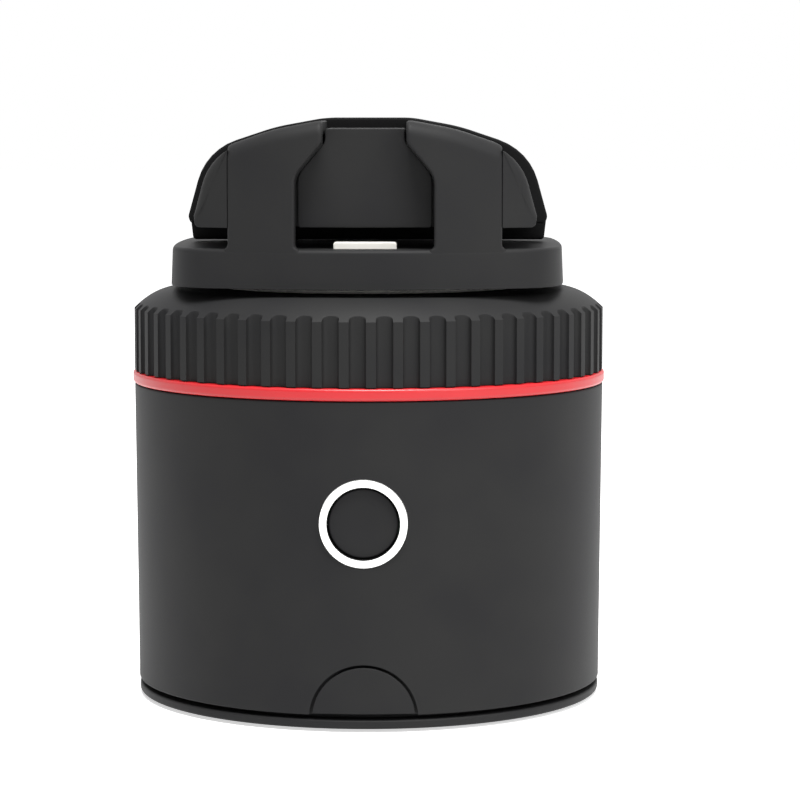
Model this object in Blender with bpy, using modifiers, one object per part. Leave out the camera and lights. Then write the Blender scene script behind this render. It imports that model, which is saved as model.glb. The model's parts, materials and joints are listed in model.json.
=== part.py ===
"""A pocket rotating phone mount: barrel, grip cover, turning head and pinch clamp.

The sizes below are in millimetres and the scene is in metres. The origin is at the middle of the
foot, +Z is up and the push button faces -Y.
"""
import math

import bmesh
import bpy
from mathutils import Vector

TO_METRES = 0.001
WELD = 0.000001

# clearances between neighbouring pieces
GAP = 0.3
CLOSE_GAP = 0.1

# fineness of the round shapes
STEPS = 44
FINE_STEPS = 32
MEDIUM_STEPS = 24
SMALL_STEPS = 12
SCREW_STEPS = 8
SHOULDER_STEPS = 3

# how far joined shapes run into each other, and cutters past what they cut
JOIN_IN = 0.5
PAST = 1.0

# foot and base plate
FOOT_IN = 27.0
FOOT_OUT = 32.6
FOOT_TALL = 1.2
FOOT_PROUD = 0.5
RIM_R = 35.7
RIM_TALL = 1.4
RIM_EASE_WIDE = 0.9
RIM_EASE_TALL = 0.6
BASE_FLOOR = 1.5
BASE_BOSS_R = 7.5
BASE_BOSS_TOP = 9.0
PCB_POST_X = 20.0
PCB_POST_R = 2.2
PCB_LIFT = 4.2
LOWER_SEAM = 0.6

# tripod bush
BUSH_R = 4.6
BUSH_BORE_R = 3.0
BUSH_TALL = 8.0
BUSH_END = 0.9

# barrel
SHELL_BOTTOM_R = 35.8
SHELL_TOP_R = 36.2
SHELL_WALL = 2.2
SHELL_TOP_WALL = 2.4
SHELL_TALL = 45.8
LEDGE_WIDE = 1.5
LEDGE_TALL = 1.2
SHELL_BOSS_R = 2.9
SHELL_BOSS_AT = 31.2
SHELL_BOSS_TOP = 12.0
SHELL_BOSS_ROOF = 1.5
BASE_SCREW_AT = 30.4

# port flap and its pocket
FLAP_R = 7.5
FLAP_CENTRE_DROP = 0.45
FLAP_LIFT = 0.25
FLAP_THICK = 1.2
FLAP_HINGE_UP = 0.65
FLAP_HINGE_IN = 0.6
PORT_WIDE = 9.4
PORT_TALL = 3.6

# push button
BUTTON_Z = 30.6
LIGHT_OUT = 6.5
LIGHT_IN = 5.32
LIGHT_SLACK = 0.15
LIGHT_FLANGE_OUT = 7.5
LIGHT_FLANGE_THICK = 0.8
LIGHT_BACK = 4.1
CAP_RECESS = 0.8
CAP_THICK = 1.2
CAP_DISH = 0.25
CAP_LAND = 0.5
CAP_EASE = 0.3
CAP_SLACK = 0.2
STEM_R = 1.5
BOARD_BEHIND_CAP = 4.6
BUTTON_TRAVEL = 0.4
SWITCH_SIDE = 4.5
SWITCH_DEEP = 1.4
BOARD_HALF_WIDE = 11.2
BOARD_HALF_TALL = 7.0
BOARD_THICK = 1.0
BOARD_POST_X = 9.4
BOARD_POST_R = 1.4
BOARD_POST_IN = 1.8
BUTTON_HOLE_DEEP = 6.0

# red ring
RING_R = 36.45
RING_TALL = 1.8

# grip cover
GRIP_R = 36.2
GRIP_TALL = 12.6
SHOULDER_WIDE = 6.4
SHOULDER_TALL = 3.1
GRIP_WEB = 2.2
FLUTES = 58
FLUTE_TURN = -1.3
FLUTE_DEEP = 0.8
FLUTE_WIDE = 2.6
FLUTE_FLOOR_SHARE = 0.68
SKIRT_WALL = 1.8
SKIRT_DROP = 3.8
SEAT_WALL = 1.9
SEAT_PAST = 0.2
COVER_BORE_ROOM = 0.9
COVER_BOSS_R = 2.4
COVER_BOSS_AT = 29.6

# chassis plate
CHASSIS_THICK = 1.5
WIRE_HOLE_R = 4.0
WIRE_HOLE_AT = (-6.0, -14.0)

# bearing and thrust washer
RACE_IN = 8.5
RACE_IN_WALL = 1.2
RACE_OUT = 13.0
RACE_OUT_WALL = 1.1
BEARING_WIDE = 5.0
BALL_R = 0.95
BALLS = 10
CAGE_WALL = 0.9
CAGE_TALL = 1.0
CLIP_TALL = 0.8
CLIP_R = 9.9
WASHER_IN = 20.0
WASHER_OUT = 24.0
WASHER_TALL = 0.6

# turning head: in plan four flat arcs, the same half width across and front to back
HEAD_SEAM = 1.1
HEAD_HALF = 29.95
HEAD_FRONT_R = 52.0
HEAD_SIDE_R = 170.0
HEAD_CORNER_BLEND = 4.4
HEAD_STEPS = 48
STRAP_SET_IN = 0.35
WING_SET_IN = 0.8
DRUM_TALL = 5.8
DRUM_WALL = 2.05
DRUM_WEB = 1.7
DRUM_EASE = 0.6
HEAD_DISC = 1.5
HUB_WALL = 2.2
HEAD_SCREW_AT = 21.5
HEAD_SCREW_TURN = -86.0
HEAD_SCREW_LONG = 2.9
HEAD_BOSS_R = 2.2

# clamp straps, seen from the front
STRAP_OUT = 20.0
STRAP_ROOT = 1.0
WINDOW_HALF = 10.0
NECK_HALF = 6.15
NECK_LOW = 80.6
NECK_HIGH = 85.4
STRAP_THICK = 4.1
ARCH_THICK = 2.2
STRAP_BACK_Y = -7.3

# clamp outline, seen from the front: half widths and heights
DOME_FOOT_HALF = 27.0
DOME_WIDE_HALF = 27.4
DOME_WIDE_Z = 73.9
DOME_CORNER = (24.6, 84.0, 9.0)
DOME_BROW = (14.0, 87.55, 30.0)
DOME_TOP_HALF = 6.6
DOME_TOP_Z = 88.9
PLATE_BOTTOM_Z = 72.9

# front jaw plate
PLATE_INSET = 1.1
PANEL_Y = -24.5
PLATE_WALL = 2.3

# jaw pads and rear jaw
PAD_THICK = 2.3
PADS_APART = 2.3
JAW_DEEP = 13.8
JAW_BACK_R = 42.5
JAW_WALL = 2.2
JAW_TRAVEL = 11.0

# index mark, a pale bar let into the drum's top at the window
MARK_HALF = 4.65
MARK_FRONT_Y = -24.6
MARK_LONG = 3.0
MARK_SUNK = 0.8
MARK_PROUD = 1.0

# guide rods, the jaw's feet and its springs
JAW_LIFT = 0.45
FOOT_X = 13.0
FOOT_HALF = 1.5
FOOT_FRONT_Y = 2.0
FOOT_LONG = 4.0
ROD_R = 0.65
ROD_FRONT_Y = -5.5
ROD_BACK_Y = 22.5
ROD_BOSS_LONG = 3.0
ROD_BOSS_HALF = 2.0
ROD_END = 0.5
SPRING_R = 1.0
SPRING_WIRE = 0.35
SPRING_TURNS = 7
SPRING_POINTS = 8

# gear train: teeth and modules
HUB_TEETH = 48
IDLER_SMALL_TEETH = 12
COARSE_MODULE = 0.7
IDLER_LARGE_TEETH = 30
PINION_TEETH = 10
FINE_MODULE = 0.5
HUB_GEAR_TALL = 3.6
LOCK_RING_TALL = 0.8
LOCK_RING_R = 10.8
IDLER_LARGE_TALL = 2.6
IDLER_LIFT = 0.75
PINION_TALL = 3.0
PINION_DROP = 0.2
AXLE_R = 1.0
AXLE_PAST = 1.0
ADDENDUM = 0.8
DEDENDUM = 1.25
TIP_SHARE = 0.42
ROOT_SHARE = 1.05

# motor
MOTOR_R = 8.0
MOTOR_TALL = 16.0
MOTOR_TURN = 126.87
MOTOR_EASE = 0.6
MOTOR_SCREW_AT = 6.0
MOTOR_SCREW_HEAD = 0.6
MOTOR_NOSE_R = 3.0
MOTOR_NOSE_TALL = 1.5
SHAFT_IN = 4.0

# circuit board, port socket, battery
PCB_R = 27.5
PCB_THICK = 1.2
SOCKET_HALF = 4.5
SOCKET_TALL = 3.0
SOCKET_DEEP = 8.5
SOCKET_WALL = 0.4
SOCKET_BACK = 2.0
TRAY_LOW = (-24.0, -10.0)
TRAY_HIGH = (-2.0, 18.0)
TRAY_TALL = 24.7
TRAY_WALL = 1.2
CELL_CORNER = 2.0
LEAD_R = 0.6

# screws
SCREW_R = 1.0
SCREW_HEAD_R = 1.9
SCREW_HEAD_TALL = 1.1
SCREW_LONG = 7.0
SMALL_SCREW_R = 0.8
SMALL_HEAD_R = 1.5
SMALL_HEAD_TALL = 0.8
SMALL_SCREW_LONG = 3.4
HOLE_SLACK = 0.2

# heights that follow from the sizes above
BASE_Z = FOOT_PROUD
RIM_TOP_Z = BASE_Z + RIM_TALL
SPIGOT_TOP_Z = RIM_TOP_Z + BASE_FLOOR
SHELL_Z = RIM_TOP_Z + LOWER_SEAM
SHELL_TOP_Z = SHELL_Z + SHELL_TALL
SHELL_IN_R = SHELL_BOTTOM_R - SHELL_WALL
SPIGOT_R = SHELL_IN_R - GAP
RING_Z = SHELL_TOP_Z + CLOSE_GAP
GRIP_Z = RING_Z + RING_TALL + CLOSE_GAP
GRIP_TOP_Z = GRIP_Z + GRIP_TALL
SHELL_TOP_IN_R = SHELL_TOP_R - SHELL_TOP_WALL
SKIRT_R = SHELL_TOP_IN_R - GAP
SKIRT_Z = GRIP_Z - SKIRT_DROP
CHASSIS_Z = SKIRT_Z - GAP - CHASSIS_THICK
LEDGE_Z = CHASSIS_Z - GAP
WEB_UNDER_Z = GRIP_TOP_Z - GRIP_WEB
BEARING_TOP_Z = WEB_UNDER_Z - CLOSE_GAP
BEARING_Z = BEARING_TOP_Z - BEARING_WIDE
CLIP_Z = BEARING_Z - CLOSE_GAP - CLIP_TALL
HUB_GEAR_TOP_Z = CLIP_Z - GAP
HUB_GEAR_Z = HUB_GEAR_TOP_Z - HUB_GEAR_TALL
LOCK_RING_Z = HUB_GEAR_Z - CLOSE_GAP - LOCK_RING_TALL
HUB_R = RACE_IN - CLOSE_GAP
HEAD_Z = GRIP_TOP_Z + HEAD_SEAM
DRUM_TOP_Z = HEAD_Z + DRUM_TALL
DRUM_IN_R = HEAD_HALF - DRUM_WALL
HEAD_ARC_Y = HEAD_FRONT_R - HEAD_HALF
STRAP_R = HEAD_FRONT_R - STRAP_SET_IN
STRAP_IN_R = STRAP_R - STRAP_THICK
WING_R = HEAD_FRONT_R - WING_SET_IN
DRUM_UNDER_Z = DRUM_TOP_Z - DRUM_WEB
DISC_TOP_Z = HEAD_Z + HEAD_DISC
ROD_Z = (DISC_TOP_Z + DRUM_UNDER_Z) / 2
FRONT_PAD_Y = STRAP_BACK_Y + GAP
REAR_PAD_Y = FRONT_PAD_Y + PAD_THICK + PADS_APART
REAR_JAW_Y = REAR_PAD_Y + PAD_THICK + GAP
JAW_BOTTOM_Z = DRUM_TOP_Z + JAW_LIFT
IDLER_X = COARSE_MODULE * (HUB_TEETH + IDLER_SMALL_TEETH) / 2
MOTOR_REACH = FINE_MODULE * (IDLER_LARGE_TEETH + PINION_TEETH) / 2
MOTOR_X = IDLER_X + MOTOR_REACH * math.cos(math.radians(MOTOR_TURN))
MOTOR_Y = MOTOR_REACH * math.sin(math.radians(MOTOR_TURN))
IDLER_Z = CHASSIS_Z + CHASSIS_THICK + IDLER_LIFT
PCB_Z = SPIGOT_TOP_Z + PCB_LIFT
PCB_POST_TOP_Z = PCB_Z - GAP
SOCKET_Z = PCB_Z - GAP - SOCKET_TALL
FACE_Y = -(SHELL_BOTTOM_R + (SHELL_TOP_R - SHELL_BOTTOM_R) * (BUTTON_Z - SHELL_Z) / SHELL_TALL)
BOARD_FRONT_Y = FACE_Y + CAP_RECESS + CAP_THICK + BOARD_BEHIND_CAP
SWITCH_FRONT_Y = BOARD_FRONT_Y - CLOSE_GAP - SWITCH_DEEP
FLAP_FRONT_Y = -SHELL_BOTTOM_R
FLAP_BACK_Y = FLAP_FRONT_Y + FLAP_THICK

FACING = {
    "up": (0.0, 0.0, 0.0),
    "down": (math.pi, 0.0, 0.0),
    "front": (math.pi / 2, 0.0, 0.0),
}


def clear_scene():
    for old in list(bpy.data.objects):
        bpy.data.objects.remove(old, do_unlink=True)


def new_collection(name):
    group = bpy.data.collections.new(name)
    bpy.context.scene.collection.children.link(group)
    return group


clear_scene()
PARTS = new_collection("rotating_phone_mount")
CUTTERS = new_collection("cutters")


def paint(name, hex_colour, roughness, metallic=0.0):
    """A plain Principled material from an sRGB hex colour."""
    material = bpy.data.materials.new(name)
    material.use_nodes = True
    shader = material.node_tree.nodes["Principled BSDF"]
    channels = [int(hex_colour[i:i + 2], 16) / 255 for i in (0, 2, 4)]
    linear = [c / 12.92 if c <= 0.04045 else ((c + 0.055) / 1.055) ** 2.4 for c in channels]
    shader.inputs["Base Color"].default_value = (*linear, 1.0)
    shader.inputs["Roughness"].default_value = roughness
    shader.inputs["Metallic"].default_value = metallic
    material.diffuse_color = (*linear, 1.0)
    return material


SOFT_TOUCH = paint("soft_touch_plastic", "3A3A3A", 0.6)
RUBBER = paint("rubber", "141414", 0.85)
RED = paint("red_plastic", "E0262C", 0.45)
LIGHT_GUIDE = paint("light_guide", "F6F6F4", 0.4)
STEEL = paint("steel", "C9C6BF", 0.3, 1.0)
BRASS = paint("brass", "B08D4A", 0.35, 1.0)
ACETAL = paint("acetal", "E4E0D4", 0.5)
BOARD_GREEN = paint("circuit_board", "1E5A3A", 0.5)
CELL = paint("cell_wrap", "4A6E9E", 0.45)
BLACK_METAL = paint("blackened_steel", "2B2B2E", 0.4, 1.0)
LEAD_RED = paint("lead_insulation", "8C1F1F", 0.5)


def to_metres(values):
    return tuple(v * TO_METRES for v in values)


def place(thing, material, group, parent, at, facing):
    """Link an object, colour it and put it where it belongs."""
    thing.location = to_metres(at)
    thing.rotation_euler = FACING[facing]
    thing.parent = parent
    if material is not None:
        thing.data.materials.append(material)
    group.objects.link(thing)
    if group is CUTTERS:
        thing.hide_render = True
        thing.display_type = "WIRE"
    return thing


def axis_empty(name, at=(0, 0, 0)):
    """An empty on a joint's axis, for the pieces that turn or slide together."""
    empty = bpy.data.objects.new(name, None)
    empty.location = to_metres(at)
    empty.empty_display_size = 0.01
    PARTS.objects.link(empty)
    return empty


def turned(name, profile, material=None, parent=None, at=(0, 0, 0), facing="up", steps=STEPS,
           solid=False, turn=0.0):
    """A turned piece. The profile is radius and height, run down its outer side.

    A solid one starts and ends on the axis, and any other profile is a closed loop.
    """
    mesh = bpy.data.meshes.new(name)
    spin = (math.cos(turn), math.sin(turn))
    points = [to_metres((r * spin[0], r * spin[1], z)) for r, z in profile]
    count = len(points)
    edges = [(i, i + 1) for i in range(count - 1)]
    if not solid:
        edges.append((count - 1, 0))
    mesh.from_pydata(points, edges, [])
    thing = bpy.data.objects.new(name, mesh)
    screw = thing.modifiers.new("turn", "SCREW")
    screw.angle = 2 * math.pi
    screw.steps = steps
    screw.render_steps = steps
    screw.use_merge_vertices = True
    screw.merge_threshold = WELD
    group = CUTTERS if material is None else PARTS
    return place(thing, material, group, parent, at, facing)


def disc(name, radius, low, high, **kwargs):
    profile = [(0, high), (radius, high), (radius, low), (0, low)]
    return turned(name, profile, solid=True, **kwargs)


def ring(name, inner, outer, low, high, **kwargs):
    profile = [(outer, high), (outer, low), (inner, low), (inner, high)]
    return turned(name, profile, **kwargs)


def weld(mesh, distance=WELD):
    """Join points that lie on each other, such as a curve's loose caps."""
    work = bmesh.new()
    work.from_mesh(mesh)
    bmesh.ops.remove_doubles(work, verts=work.verts, dist=distance)
    work.to_mesh(mesh)
    work.free()


def curve_to_mesh(thing, material, group):
    """Turn a curve object into a mesh object of the same name and place."""
    bpy.context.view_layer.update()
    graph = bpy.context.evaluated_depsgraph_get()
    mesh = bpy.data.meshes.new_from_object(thing.evaluated_get(graph))
    weld(mesh)
    name = thing.name
    parent = thing.parent
    placed = thing.matrix_world.copy()
    bpy.data.objects.remove(thing, do_unlink=True)
    solid = bpy.data.objects.new(name, mesh)
    solid.parent = parent
    solid.matrix_world = placed
    mesh.materials.clear()
    if material is not None:
        mesh.materials.append(material)
    group.objects.link(solid)
    if group is CUTTERS:
        solid.hide_render = True
        solid.display_type = "WIRE"
    return solid


def flat(name, outlines, low, high, material=None, parent=None, at=(0, 0, 0), facing="up"):
    """Flat outlines made thick from low to high along the facing's own upward axis."""
    curve = bpy.data.curves.new(name, "CURVE")
    curve.dimensions = "2D"
    curve.fill_mode = "BOTH"
    curve.extrude = (high - low) / 2 * TO_METRES
    for outline in outlines:
        spline = curve.splines.new("POLY")
        spline.points.add(len(outline) - 1)
        for point, (x, y) in zip(spline.points, outline):
            point.co = (x * TO_METRES, y * TO_METRES, 0, 1)
        spline.use_cyclic_u = True
    thing = bpy.data.objects.new(name, curve)
    group = CUTTERS if material is None else PARTS
    middle = Vector((0, 0, (low + high) / 2))
    if facing == "front":
        middle = Vector((0, -middle.z, 0))
    place(thing, None, group, parent, Vector(at) + middle, facing)
    return curve_to_mesh(thing, material, group)


def upright(name, outlines, near_y, far_y, **kwargs):
    """Outlines drawn as seen from the front, made thick from near_y back to far_y."""
    return flat(name, outlines, -far_y, -near_y, facing="front", **kwargs)


def box(name, low, high, material=None, parent=None):
    outline = [(low[0], low[1]), (high[0], low[1]), (high[0], high[1]), (low[0], high[1])]
    return flat(name, [outline], low[2], high[2], material=material, parent=parent)


def tube(name, points, radius, material, parent=None, sides=2):
    """A round wire through the points."""
    curve = bpy.data.curves.new(name, "CURVE")
    curve.dimensions = "3D"
    curve.bevel_depth = radius * TO_METRES
    curve.bevel_resolution = sides
    curve.use_fill_caps = True
    spline = curve.splines.new("POLY")
    spline.points.add(len(points) - 1)
    for point, place_at in zip(spline.points, points):
        point.co = (*to_metres(place_at), 1)
    thing = bpy.data.objects.new(name, curve)
    place(thing, None, PARTS, parent, (0, 0, 0), "up")
    return curve_to_mesh(thing, material, PARTS)


def combine(thing, operation, *others):
    """Cut, join or trim a solid by other solids."""
    for other in others:
        step = thing.modifiers.new(other.name, "BOOLEAN")
        step.operation = operation
        step.solver = "EXACT"
        step.object = other
    return thing


def cut(thing, *cutters):
    return combine(thing, "DIFFERENCE", *cutters)


def join(thing, *additions):
    return combine(thing, "UNION", *additions)


def trim(thing, *bounds):
    return combine(thing, "INTERSECT", *bounds)


def circle(radius, centre=(0, 0), steps=SMALL_STEPS):
    angles = [2 * math.pi * i / steps for i in range(steps)]
    return [(centre[0] + radius * math.cos(a), centre[1] + radius * math.sin(a)) for a in angles]


def around(radius, count, first):
    """Places on a circle, the first one at an angle in degrees."""
    angles = [math.radians(first + 360 * i / count) for i in range(count)]
    return [(radius * math.cos(a), radius * math.sin(a)) for a in angles]


def rounded(corners, segments=5):
    """An outline with round corners, from (x, y, radius) for each corner."""
    points = []
    for i, (x, y, radius) in enumerate(corners):
        corner = Vector((x, y))
        if radius == 0:
            points.append((x, y))
            continue
        before = (Vector(corners[i - 1][:2]) - corner).normalized()
        after = (Vector(corners[(i + 1) % len(corners)][:2]) - corner).normalized()
        half = before.angle(after) / 2
        centre = corner + (before + after).normalized() * (radius / math.sin(half))
        start = corner + before * (radius / math.tan(half)) - centre
        end = corner + after * (radius / math.tan(half)) - centre
        sweep = math.atan2(start.cross(end), start.dot(end))
        first = math.atan2(start.y, start.x)
        for k in range(segments + 1):
            angle = first + sweep * k / segments
            points.append((centre.x + radius * math.cos(angle), centre.y + radius * math.sin(angle)))
    return points


def inset_outline(points, inset):
    """The same outline, drawn in by a distance. The points run anticlockwise."""
    moved = []
    count = len(points)
    for i in range(count):
        here = Vector(points[i])
        into = (here - Vector(points[i - 1])).normalized()
        out = (Vector(points[(i + 1) % count]) - here).normalized()
        left_in = Vector((-into.y, into.x))
        left_out = Vector((-out.y, out.x))
        middle = (left_in + left_out).normalized()
        moved.append(tuple(here + middle * (inset / middle.dot(left_out))))
    return moved


def mirrored(points):
    """The outline on the other side of the middle plane, still run the same way round."""
    return [(-x, y) for x, y in reversed(points)]


def dome_outline(bottom, inset=0.0):
    """The clamp's outline from the front, drawn in by the inset, with its lower edge at a height."""
    low = bottom - inset
    lean = (DOME_WIDE_HALF - DOME_CORNER[0]) / (DOME_CORNER[1] - DOME_WIDE_Z)
    foot = [(DOME_FOOT_HALF, low, 0), (DOME_WIDE_HALF, DOME_WIDE_Z, 0)]
    if bottom > DOME_WIDE_Z:
        foot = [(DOME_WIDE_HALF + (DOME_WIDE_Z - low) * lean, low, 0)]
    side = foot + [DOME_CORNER, DOME_BROW, (DOME_TOP_HALF, DOME_TOP_Z, 0)]
    left = [(-x, z, r) for x, z, r in reversed(side)]
    return inset_outline(rounded(side + left), inset)


def arc_reach(toward, radius):
    """How far from the axis an arc of this radius lies, its middle at HEAD_HALF.

    The first value is the cosine of the angle from the arc's middle.
    """
    offset = radius - HEAD_HALF
    return math.sqrt(radius ** 2 - offset ** 2 * (1 - toward ** 2)) - offset * toward


def head_plan():
    """The drum from above: at each angle, the nearer of a front arc and a side arc, blended."""
    points = []
    for i in range(HEAD_STEPS):
        angle = 2 * math.pi * i / HEAD_STEPS
        c, s = math.cos(angle), math.sin(angle)
        front = arc_reach(abs(s), HEAD_FRONT_R)
        side = arc_reach(abs(c), HEAD_SIDE_R)
        mix = min(1.0, max(0.0, 0.5 + 0.5 * (side - front) / HEAD_CORNER_BLEND))
        reach = side + (front - side) * mix - HEAD_CORNER_BLEND * mix * (1 - mix)
        points.append((reach * c, reach * s))
    return points


def strap_outline(grow=0.0):
    """The right-hand strap from the front, cut off above the clamp's top."""
    low = DRUM_UNDER_Z + STRAP_ROOT - grow
    high = DOME_TOP_Z + 2 * PAST
    outline = [
        (WINDOW_HALF, low),
        (STRAP_OUT, low),
        (STRAP_OUT, high),
        (NECK_HALF, high),
        (NECK_HALF, NECK_HIGH),
        (WINDOW_HALF, NECK_LOW),
    ]
    return inset_outline(outline, -grow)


def gear_outline(teeth, module, turn=0.0):
    """Straight-flanked teeth, one of them centred on the turn, which is in degrees."""
    pitch_r = module * teeth / 2
    tip = pitch_r + ADDENDUM * module
    root = pitch_r - DEDENDUM * module
    half = math.pi * module / 4
    points = []
    for i in range(teeth):
        middle = math.radians(turn) + 2 * math.pi * i / teeth
        for radius, offset in (
            (root, -ROOT_SHARE * half),
            (tip, -TIP_SHARE * half),
            (tip, TIP_SHARE * half),
            (root, ROOT_SHARE * half),
        ):
            angle = middle + offset / radius
            points.append((radius * math.cos(angle), radius * math.sin(angle)))
    return points


def screw(name, seat, facing, radius=SCREW_R, long=SCREW_LONG, head_r=SCREW_HEAD_R,
          head_tall=SCREW_HEAD_TALL, parent=None):
    """A cheese-head screw whose head stands on its seat and whose shank goes the other way."""
    profile = [
        (0, head_tall),
        (head_r, head_tall),
        (head_r, 0),
        (radius, 0),
        (radius, -long),
        (0, -long),
    ]
    return turned(name, profile, STEEL, parent, seat, facing, SCREW_STEPS, solid=True)


def screw_recess(name, at, low, seat, top, head_r, shank_r):
    """A cutter for a screw put in from below: room for its head up to the seat, then its shank."""
    profile = [
        (0, top),
        (shank_r, top),
        (shank_r, seat),
        (head_r, seat),
        (head_r, low),
        (0, low),
    ]
    return turned(name, profile, at=(*at, 0), steps=SMALL_STEPS, solid=True)


def make_foot_ring():
    ring("foot_ring", FOOT_IN, FOOT_OUT, 0, FOOT_TALL, material=RUBBER)


def make_base_plate():
    groove_top = FOOT_TALL + CLOSE_GAP
    profile = [
        (SPIGOT_R, SPIGOT_TOP_Z),
        (SPIGOT_R, RIM_TOP_Z),
        (RIM_R, RIM_TOP_Z),
        (RIM_R, BASE_Z + RIM_EASE_TALL),
        (RIM_R - RIM_EASE_WIDE, BASE_Z),
        (FOOT_OUT + CLOSE_GAP, BASE_Z),
        (FOOT_OUT + CLOSE_GAP, groove_top),
        (FOOT_IN - CLOSE_GAP, groove_top),
        (FOOT_IN - CLOSE_GAP, BASE_Z),
        (BUSH_R + CLOSE_GAP, BASE_Z),
        (BUSH_R + CLOSE_GAP, BASE_BOSS_TOP),
        (BASE_BOSS_R, BASE_BOSS_TOP),
        (BASE_BOSS_R, SPIGOT_TOP_Z),
    ]
    base = turned("base_plate", profile, SOFT_TOUCH)
    for side in (-1, 1):
        at = (side * PCB_POST_X, 0, 0)
        join(base, disc("pcb_post", PCB_POST_R, SPIGOT_TOP_Z - JOIN_IN, PCB_POST_TOP_Z, at=at,
                        steps=SMALL_STEPS))
        cut(base, disc("pcb_post_hole", SMALL_SCREW_R + CLOSE_GAP, SPIGOT_TOP_Z + GAP, PCB_Z,
                       at=at, steps=SCREW_STEPS))
    seat = groove_top + SCREW_HEAD_TALL + CLOSE_GAP
    for i, (x, y) in enumerate(around(BASE_SCREW_AT, 4, 45)):
        cut(base, screw_recess("base_screw_recess", (x, y), BASE_Z - PAST, seat, SPIGOT_TOP_Z + PAST,
                               SCREW_HEAD_R + HOLE_SLACK, SCREW_R + HOLE_SLACK))
        screw(f"base_screw_{i + 1}", (x, y, seat - CLOSE_GAP), "down")


def make_tripod_bush():
    top = BASE_Z + BUSH_TALL
    profile = [
        (0, top),
        (BUSH_R, top),
        (BUSH_R, BASE_Z),
        (BUSH_BORE_R, BASE_Z),
        (BUSH_BORE_R, top - BUSH_END),
        (0, top - BUSH_END),
    ]
    turned("tripod_bush", profile, BRASS, steps=MEDIUM_STEPS, solid=True)


def flap_outline(radius):
    """A half disc on the barrel's lower edge, as seen from the front."""
    centre_z = SHELL_Z - FLAP_CENTRE_DROP
    return [(radius * math.cos(math.pi * i / 16), centre_z + radius * math.sin(math.pi * i / 16))
            for i in range(17)]


def slot_outline(wide, tall, centre_z, segments=6):
    """A slot with round ends, as seen from the front."""
    half = (wide - tall) / 2
    points = []
    for side in (1, -1):
        for i in range(segments + 1):
            angle = -side * math.pi / 2 + math.pi * i / segments
            x = side * half + tall / 2 * math.cos(angle)
            points.append((x, centre_z + tall / 2 * math.sin(angle)))
    return points


def make_body_shell():
    ledge_low = LEDGE_Z - LEDGE_TALL
    profile = [
        (SHELL_TOP_R, SHELL_TOP_Z),
        (SHELL_BOTTOM_R, SHELL_Z),
        (SHELL_IN_R, SHELL_Z),
        (SHELL_TOP_IN_R, ledge_low - LEDGE_WIDE),
        (SHELL_TOP_IN_R - LEDGE_WIDE, ledge_low),
        (SHELL_TOP_IN_R - LEDGE_WIDE, LEDGE_Z),
        (SHELL_TOP_IN_R, LEDGE_Z),
        (SHELL_TOP_IN_R, SHELL_TOP_Z),
    ]
    shell = turned("body_shell", profile, SOFT_TOUCH)
    boss_low = SPIGOT_TOP_Z + GAP
    for x, y in around(SHELL_BOSS_AT, 4, 45):
        join(shell, disc("shell_boss", SHELL_BOSS_R, boss_low, SHELL_BOSS_TOP, at=(x, y, 0),
                         steps=SMALL_STEPS))
    for x, y in around(BASE_SCREW_AT, 4, 45):
        cut(shell, disc("shell_boss_hole", SCREW_R + CLOSE_GAP, boss_low - PAST,
                        SHELL_BOSS_TOP - SHELL_BOSS_ROOF, at=(x, y, 0), steps=SMALL_STEPS))
    for side in (-1, 1):
        join(shell, disc("board_post", BOARD_POST_R, -BOARD_FRONT_Y + GAP, -FACE_Y - BOARD_POST_IN,
                         at=(side * BOARD_POST_X, 0, BUTTON_Z), facing="front",
                         steps=SMALL_STEPS))
    cut(shell, disc("button_hole", LIGHT_OUT + LIGHT_SLACK, -FACE_Y - BUTTON_HOLE_DEEP,
                    -FACE_Y + 4 * PAST, at=(0, 0, BUTTON_Z), facing="front", steps=FINE_STEPS))
    pocket = flap_outline(FLAP_R + GAP)
    low = SHELL_Z - 3 * PAST
    pocket = [(pocket[0][0], low)] + pocket + [(pocket[-1][0], low)]
    cut(shell, upright("flap_pocket", [pocket], FLAP_FRONT_Y - 4 * PAST, FLAP_BACK_Y + GAP))
    port_z = SOCKET_Z + SOCKET_TALL / 2
    cut(shell, upright("port_hole", [slot_outline(PORT_WIDE, PORT_TALL, port_z)],
                       FLAP_FRONT_Y - 4 * PAST, -SHELL_IN_R + 3 * PAST))


def make_port_flap():
    """The flap's origin is on the living hinge in its lower edge."""
    hinge = (0, FLAP_FRONT_Y + FLAP_HINGE_IN, SHELL_Z + FLAP_HINGE_UP + FLAP_LIFT)
    low = SHELL_Z + FLAP_LIFT
    outline = [(x, max(z, low)) for x, z in flap_outline(FLAP_R)]
    local = [(x, z - hinge[2]) for x, z in outline]
    near = FLAP_FRONT_Y - 2 * PAST - hinge[1]
    far = FLAP_BACK_Y - hinge[1]
    flap = upright("port_flap", [local], near, far, material=SOFT_TOUCH, at=hinge)
    trim(flap, disc("flap_face", SHELL_BOTTOM_R, 0, SHELL_Z + 2 * FLAP_R))


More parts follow.
